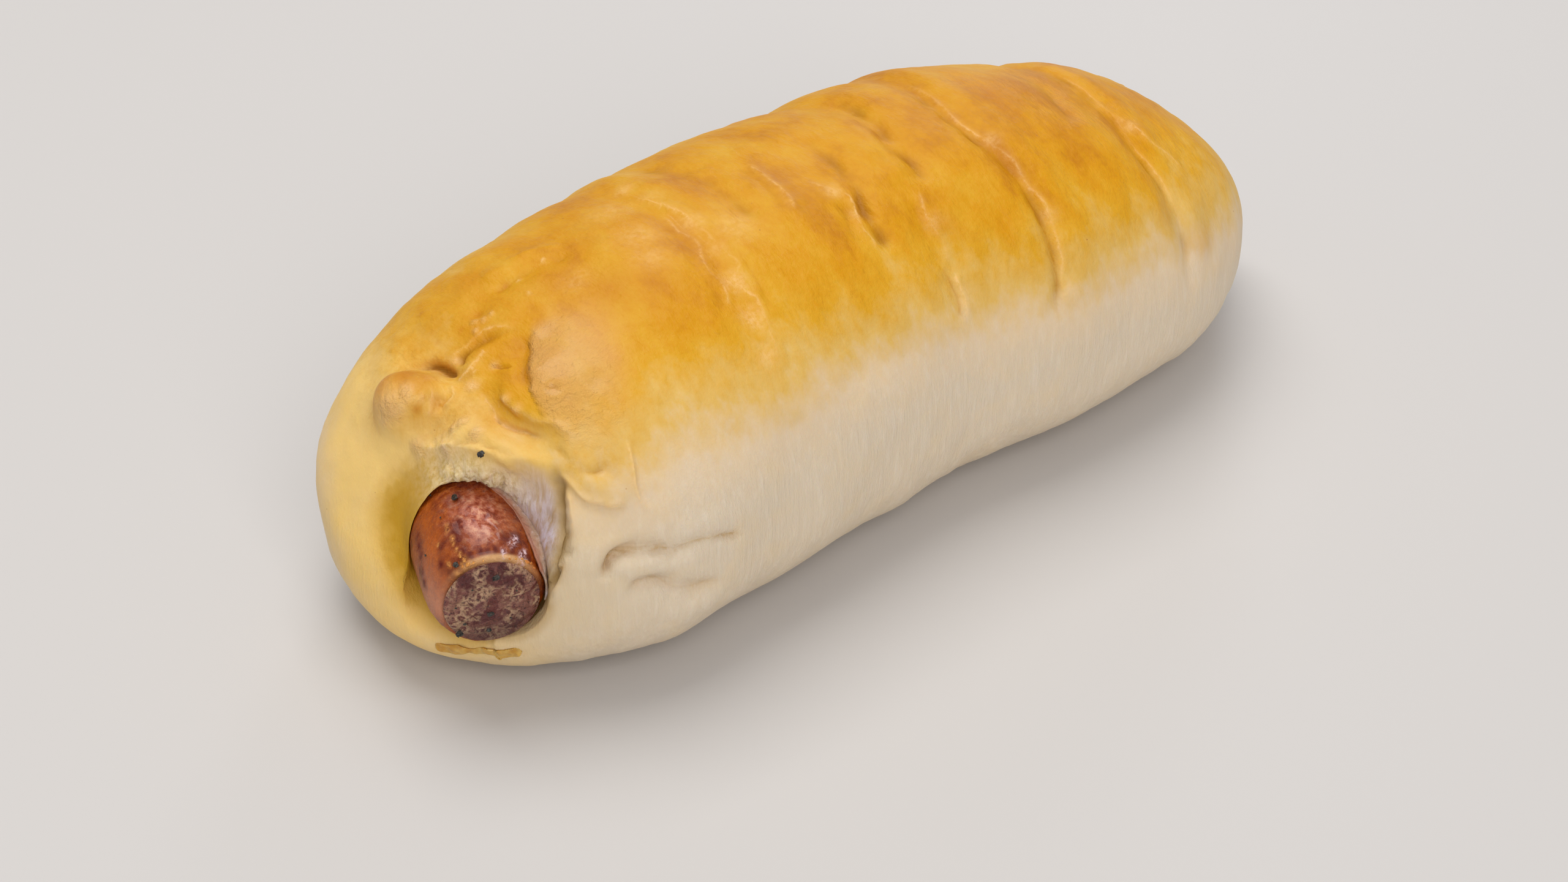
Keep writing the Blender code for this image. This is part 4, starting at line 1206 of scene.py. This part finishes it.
def make_casing():
    """Smoked casing of the link, wrinkled at its ends."""
    casing = joined_copy("sausage", "casing")
    inset_cuts(casing)
    modify(casing, "SUBSURF", levels=CASING_LEVELS)
    points, normals = points_of(casing), normals_of(casing)
    along, angle, clearance = link_measure(points)
    middle, outward, _ = link_tip(False)
    near_tip = LINK_LENGTH - along
    near_tip = np.where(near_tip < CURL_TIP - 1.0, (middle - points) @ outward, near_tip)
    tip_gap = np.minimum(along, near_tip)
    zone = rise(tip_gap, *END_ZONE) * rise(clearance, *SIDE_BAND)
    # The pink patch, a painted sheen, also gets wrinkles
    pink = hump(angle, *PINK_ARC) * hump(near_tip, *PINK_RUN)
    height = lumpy(points, CASING_LUMPS) + PINK_WRINKLES * pink * drift(points, (0.7, 1.8, 0.7), 13.0)
    lifted = bell(tip_gap / SKIN_LIFT_REACH) * hump(angle, *SKIN_ARC)
    set_points(casing, points + (zone * (height + SKIN_LIFT * lifted))[:, None] * normals)
    grease = hump(angle, *GREASE_ARC) * hump(near_tip, *GREASE_RUN) * rise(near_tip, *GREASE_START)
    paint(
        casing,
        pink=pink * (near_tip < PINK_END),
        grease=grease,
        rim=rise(tip_gap, *RIM_BAND) * hump(angle, *RIM_ARC),
        orange=hump(angle, *ORANGE_ARC) * hump(near_tip, *ORANGE_RUN),
        low=hump(np.abs(angle - 180.0), 180.0, LOW_SPREAD) * bell(near_tip / LOW_RUN),
    )
    # dark smoke with a painted shadow, amber fat, and painted glints
    for name, patches in (("smoke_and_shadow", SMOKE_AND_SHADOW_SPOTS), ("amber", AMBER_SPOTS), ("glint", GLINT_SPOTS)):
        share = np.zeros(len(points))
        for from_tip, turn, reach in patches:
            gap = np.hypot(near_tip - from_tip, np.radians(angle - turn) * LINK_RADIUS)
            share = np.maximum(share, bell(gap / reach))
        paint(casing, **{name: share})
    finish_piece(casing, casing_material(), "casing", "sausage")


def make_meat():
    """Cut meat at both ends of the link."""
    material = meat_material()
    sizes = {"segments": MEAT_SIDES, "ring_count": MEAT_RINGS, "radius": MM}
    for name, far in (("near_meat", False), ("far_meat", True)):
        meat = new_piece(bpy.ops.mesh.primitive_uv_sphere_add, name, **sizes)
        points = points_of(meat)
        middle, outward, left = link_tip(far)
        up = np.cross(outward, left)
        up *= np.sign(up[2])
        across = points[:, :1] * left + points[:, 1:2] * up
        placed = middle + MEAT_RADIUS * across + (MEAT_BULGE * points[:, 2] - MEAT_SINK)[:, None] * outward
        level = ease(points[:, 2] / MEAT_RIM) * (lumpy(placed, MEAT_LUMPS) - MEAT_LEVEL)
        set_points(meat, placed + level[:, None] * outward)
        # painted shade towards the bottom of the cut
        paint(meat, low=rise(points[:, 1] * MEAT_RADIUS, *MEAT_LOW))
        face_outward(meat)
        finish_piece(meat, material, "meat")


def make_pepper():
    """Flakes of cracked pepper, on the casing, the cuts and the dough."""
    flakes = [(*link_spot(from_tip, angle), size) for from_tip, angle, size in CASING_FLAKES]
    for far in (False, True):
        middle, outward, left = link_tip(far)
        for to_left, up, size in CUT_FLAKES:
            flakes.append((middle + to_left * left + up * UP + MEAT_SINK * outward, outward, size))
    flakes.append(DOUGH_FLAKE)
    pieces = []
    for index, (place, facing, size) in enumerate(flakes):
        sizes = {"subdivisions": 2, "radius": MM * size / 2.0}
        flake = new_piece(bpy.ops.mesh.primitive_ico_sphere_add, "pepper", **sizes)
        points = points_of(flake)
        crumple = FLAKE_CRUMPLE * size
        shifts = [drift(points, crumple, 30.0 + index + axis) for axis in range(3)]
        points += crumple * np.column_stack(shifts)
        settle(flake, points * FLAKE_SHAPE, place, facing)
        pieces.append(flake)
    pepper = join(pieces, "pepper")
    finish_piece(pepper, pepper_material(), "pepper")
    pepper.data.shade_flat()


def make_beads(material):
    """Beads of amber fat along the skin's edge over the near cut."""
    pieces = []
    for from_tip, angle, size in BEADS:
        sizes = {"segments": BEAD_SIDES, "ring_count": BEAD_RINGS, "radius": MM * size}
        bead = new_piece(bpy.ops.mesh.primitive_uv_sphere_add, "beads", **sizes)
        points = points_of(bead)
        points *= 1.0 + BEAD_CRUMPLE * drift(points, size, 60.0 + angle)[:, None]
        settle(bead, points * BEAD_SHAPE, *link_spot(from_tip, angle))
        pieces.append(bead)
    finish_piece(join(pieces, "beads"), material, "fat")


def make_flap(material):
    """Amber flap of soaked dough that clings to the bun under the near cut."""
    flap = new_object("flap", bpy.data.objects["crust"].data.copy())
    start, run = np.array(FLAP_START), np.subtract(FLAP_END, FLAP_START)
    for breadth, rag, cuts in ((2.0 * FLAP_BREADTH, 0.0, FLAP_CUTS), (FLAP_BREADTH, FLAP_RAG, 0)):
        points = points_of(flap)
        share = np.clip((points - start) @ run / (run @ run), 0.0, 1.0)
        gap = np.linalg.norm(points - start - share[:, None] * run, axis=1) + rag * drift(points, 2.4, 41.0)
        edit(flap, (bpy.ops.mesh.select_mode, {"type": "VERT"}), chosen="DESELECT")
        flap.data.vertices.foreach_set("select", gap > breadth)
        bpy.ops.object.mode_set(mode="EDIT")
        bpy.ops.mesh.delete(type="VERT")
        bpy.ops.mesh.select_all(action="SELECT")
        if cuts:
            bpy.ops.mesh.subdivide(number_cuts=cuts, smoothness=1.0)
        bpy.ops.object.mode_set(mode="OBJECT")
    points = points_of(flap)
    lift = FLAP_LIFT * (1.0 + drift(points, 1.1, 42.0))
    set_points(flap, points + lift[:, None] * normals_of(flap))
    modify(flap, "SOLIDIFY", thickness=FLAP_THICKNESS * MM)
    finish_piece(flap, material, "fat")


# Studio
def direction(heading, height):
    """Way of a heading and a height, in degrees."""
    heading, height = math.radians(heading), math.radians(height)
    flat = math.cos(height)
    return Vector((math.cos(heading) * flat, math.sin(heading) * flat, math.sin(height)))


def aim(piece, place, target):
    """Place a light or camera and point it at a spot."""
    piece.location = place
    piece.rotation_euler = (target - place).to_track_quat("-Z", "Y").to_euler()


def make_studio():
    """Camera, pale floor, soft lights and a plain sky."""
    camera = new_object("camera", bpy.data.cameras.new("camera"))
    camera.data.lens = CAMERA_LENS
    aim(camera, CAMERA_PLACE, CAMERA_PLACE + direction(CAMERA_HEADING, -CAMERA_PITCH))
    bpy.context.scene.camera = camera
    for name, heading, height, distance, width, power, color in LIGHTS:
        light = new_object(name, bpy.data.lights.new(name, "AREA"))
        light.data.size = width
        light.data.energy = power
        light.data.color = color
        aim(light, LIT_SPOT + direction(heading, height) * distance, LIT_SPOT)
    world = bpy.data.worlds.new("sky")
    world.use_nodes = True
    wire(world.node_tree.nodes["Background"], Color=(*SKY, 1.0), Strength=SKY_STRENGTH)
    bpy.context.scene.world = world
    bpy.context.scene.view_settings.view_transform = "Standard"
    floor = new_piece(bpy.ops.mesh.primitive_plane_add, "floor", size=FLOOR_WIDTH)
    material, _, shader = new_material("pale_floor", 0.6)
    wire(shader, Base_Color=FLOOR_TONE)
    floor.data.materials.append(material)


make_studio()
make_film(make_crust())
make_casing()
make_meat()
make_pepper()
make_flap(fat_material("soaked_dough", (196, 138, 44), (222, 176, 92)))
make_beads(fat_material("amber_fat", (176, 98, 32), (206, 138, 68)))
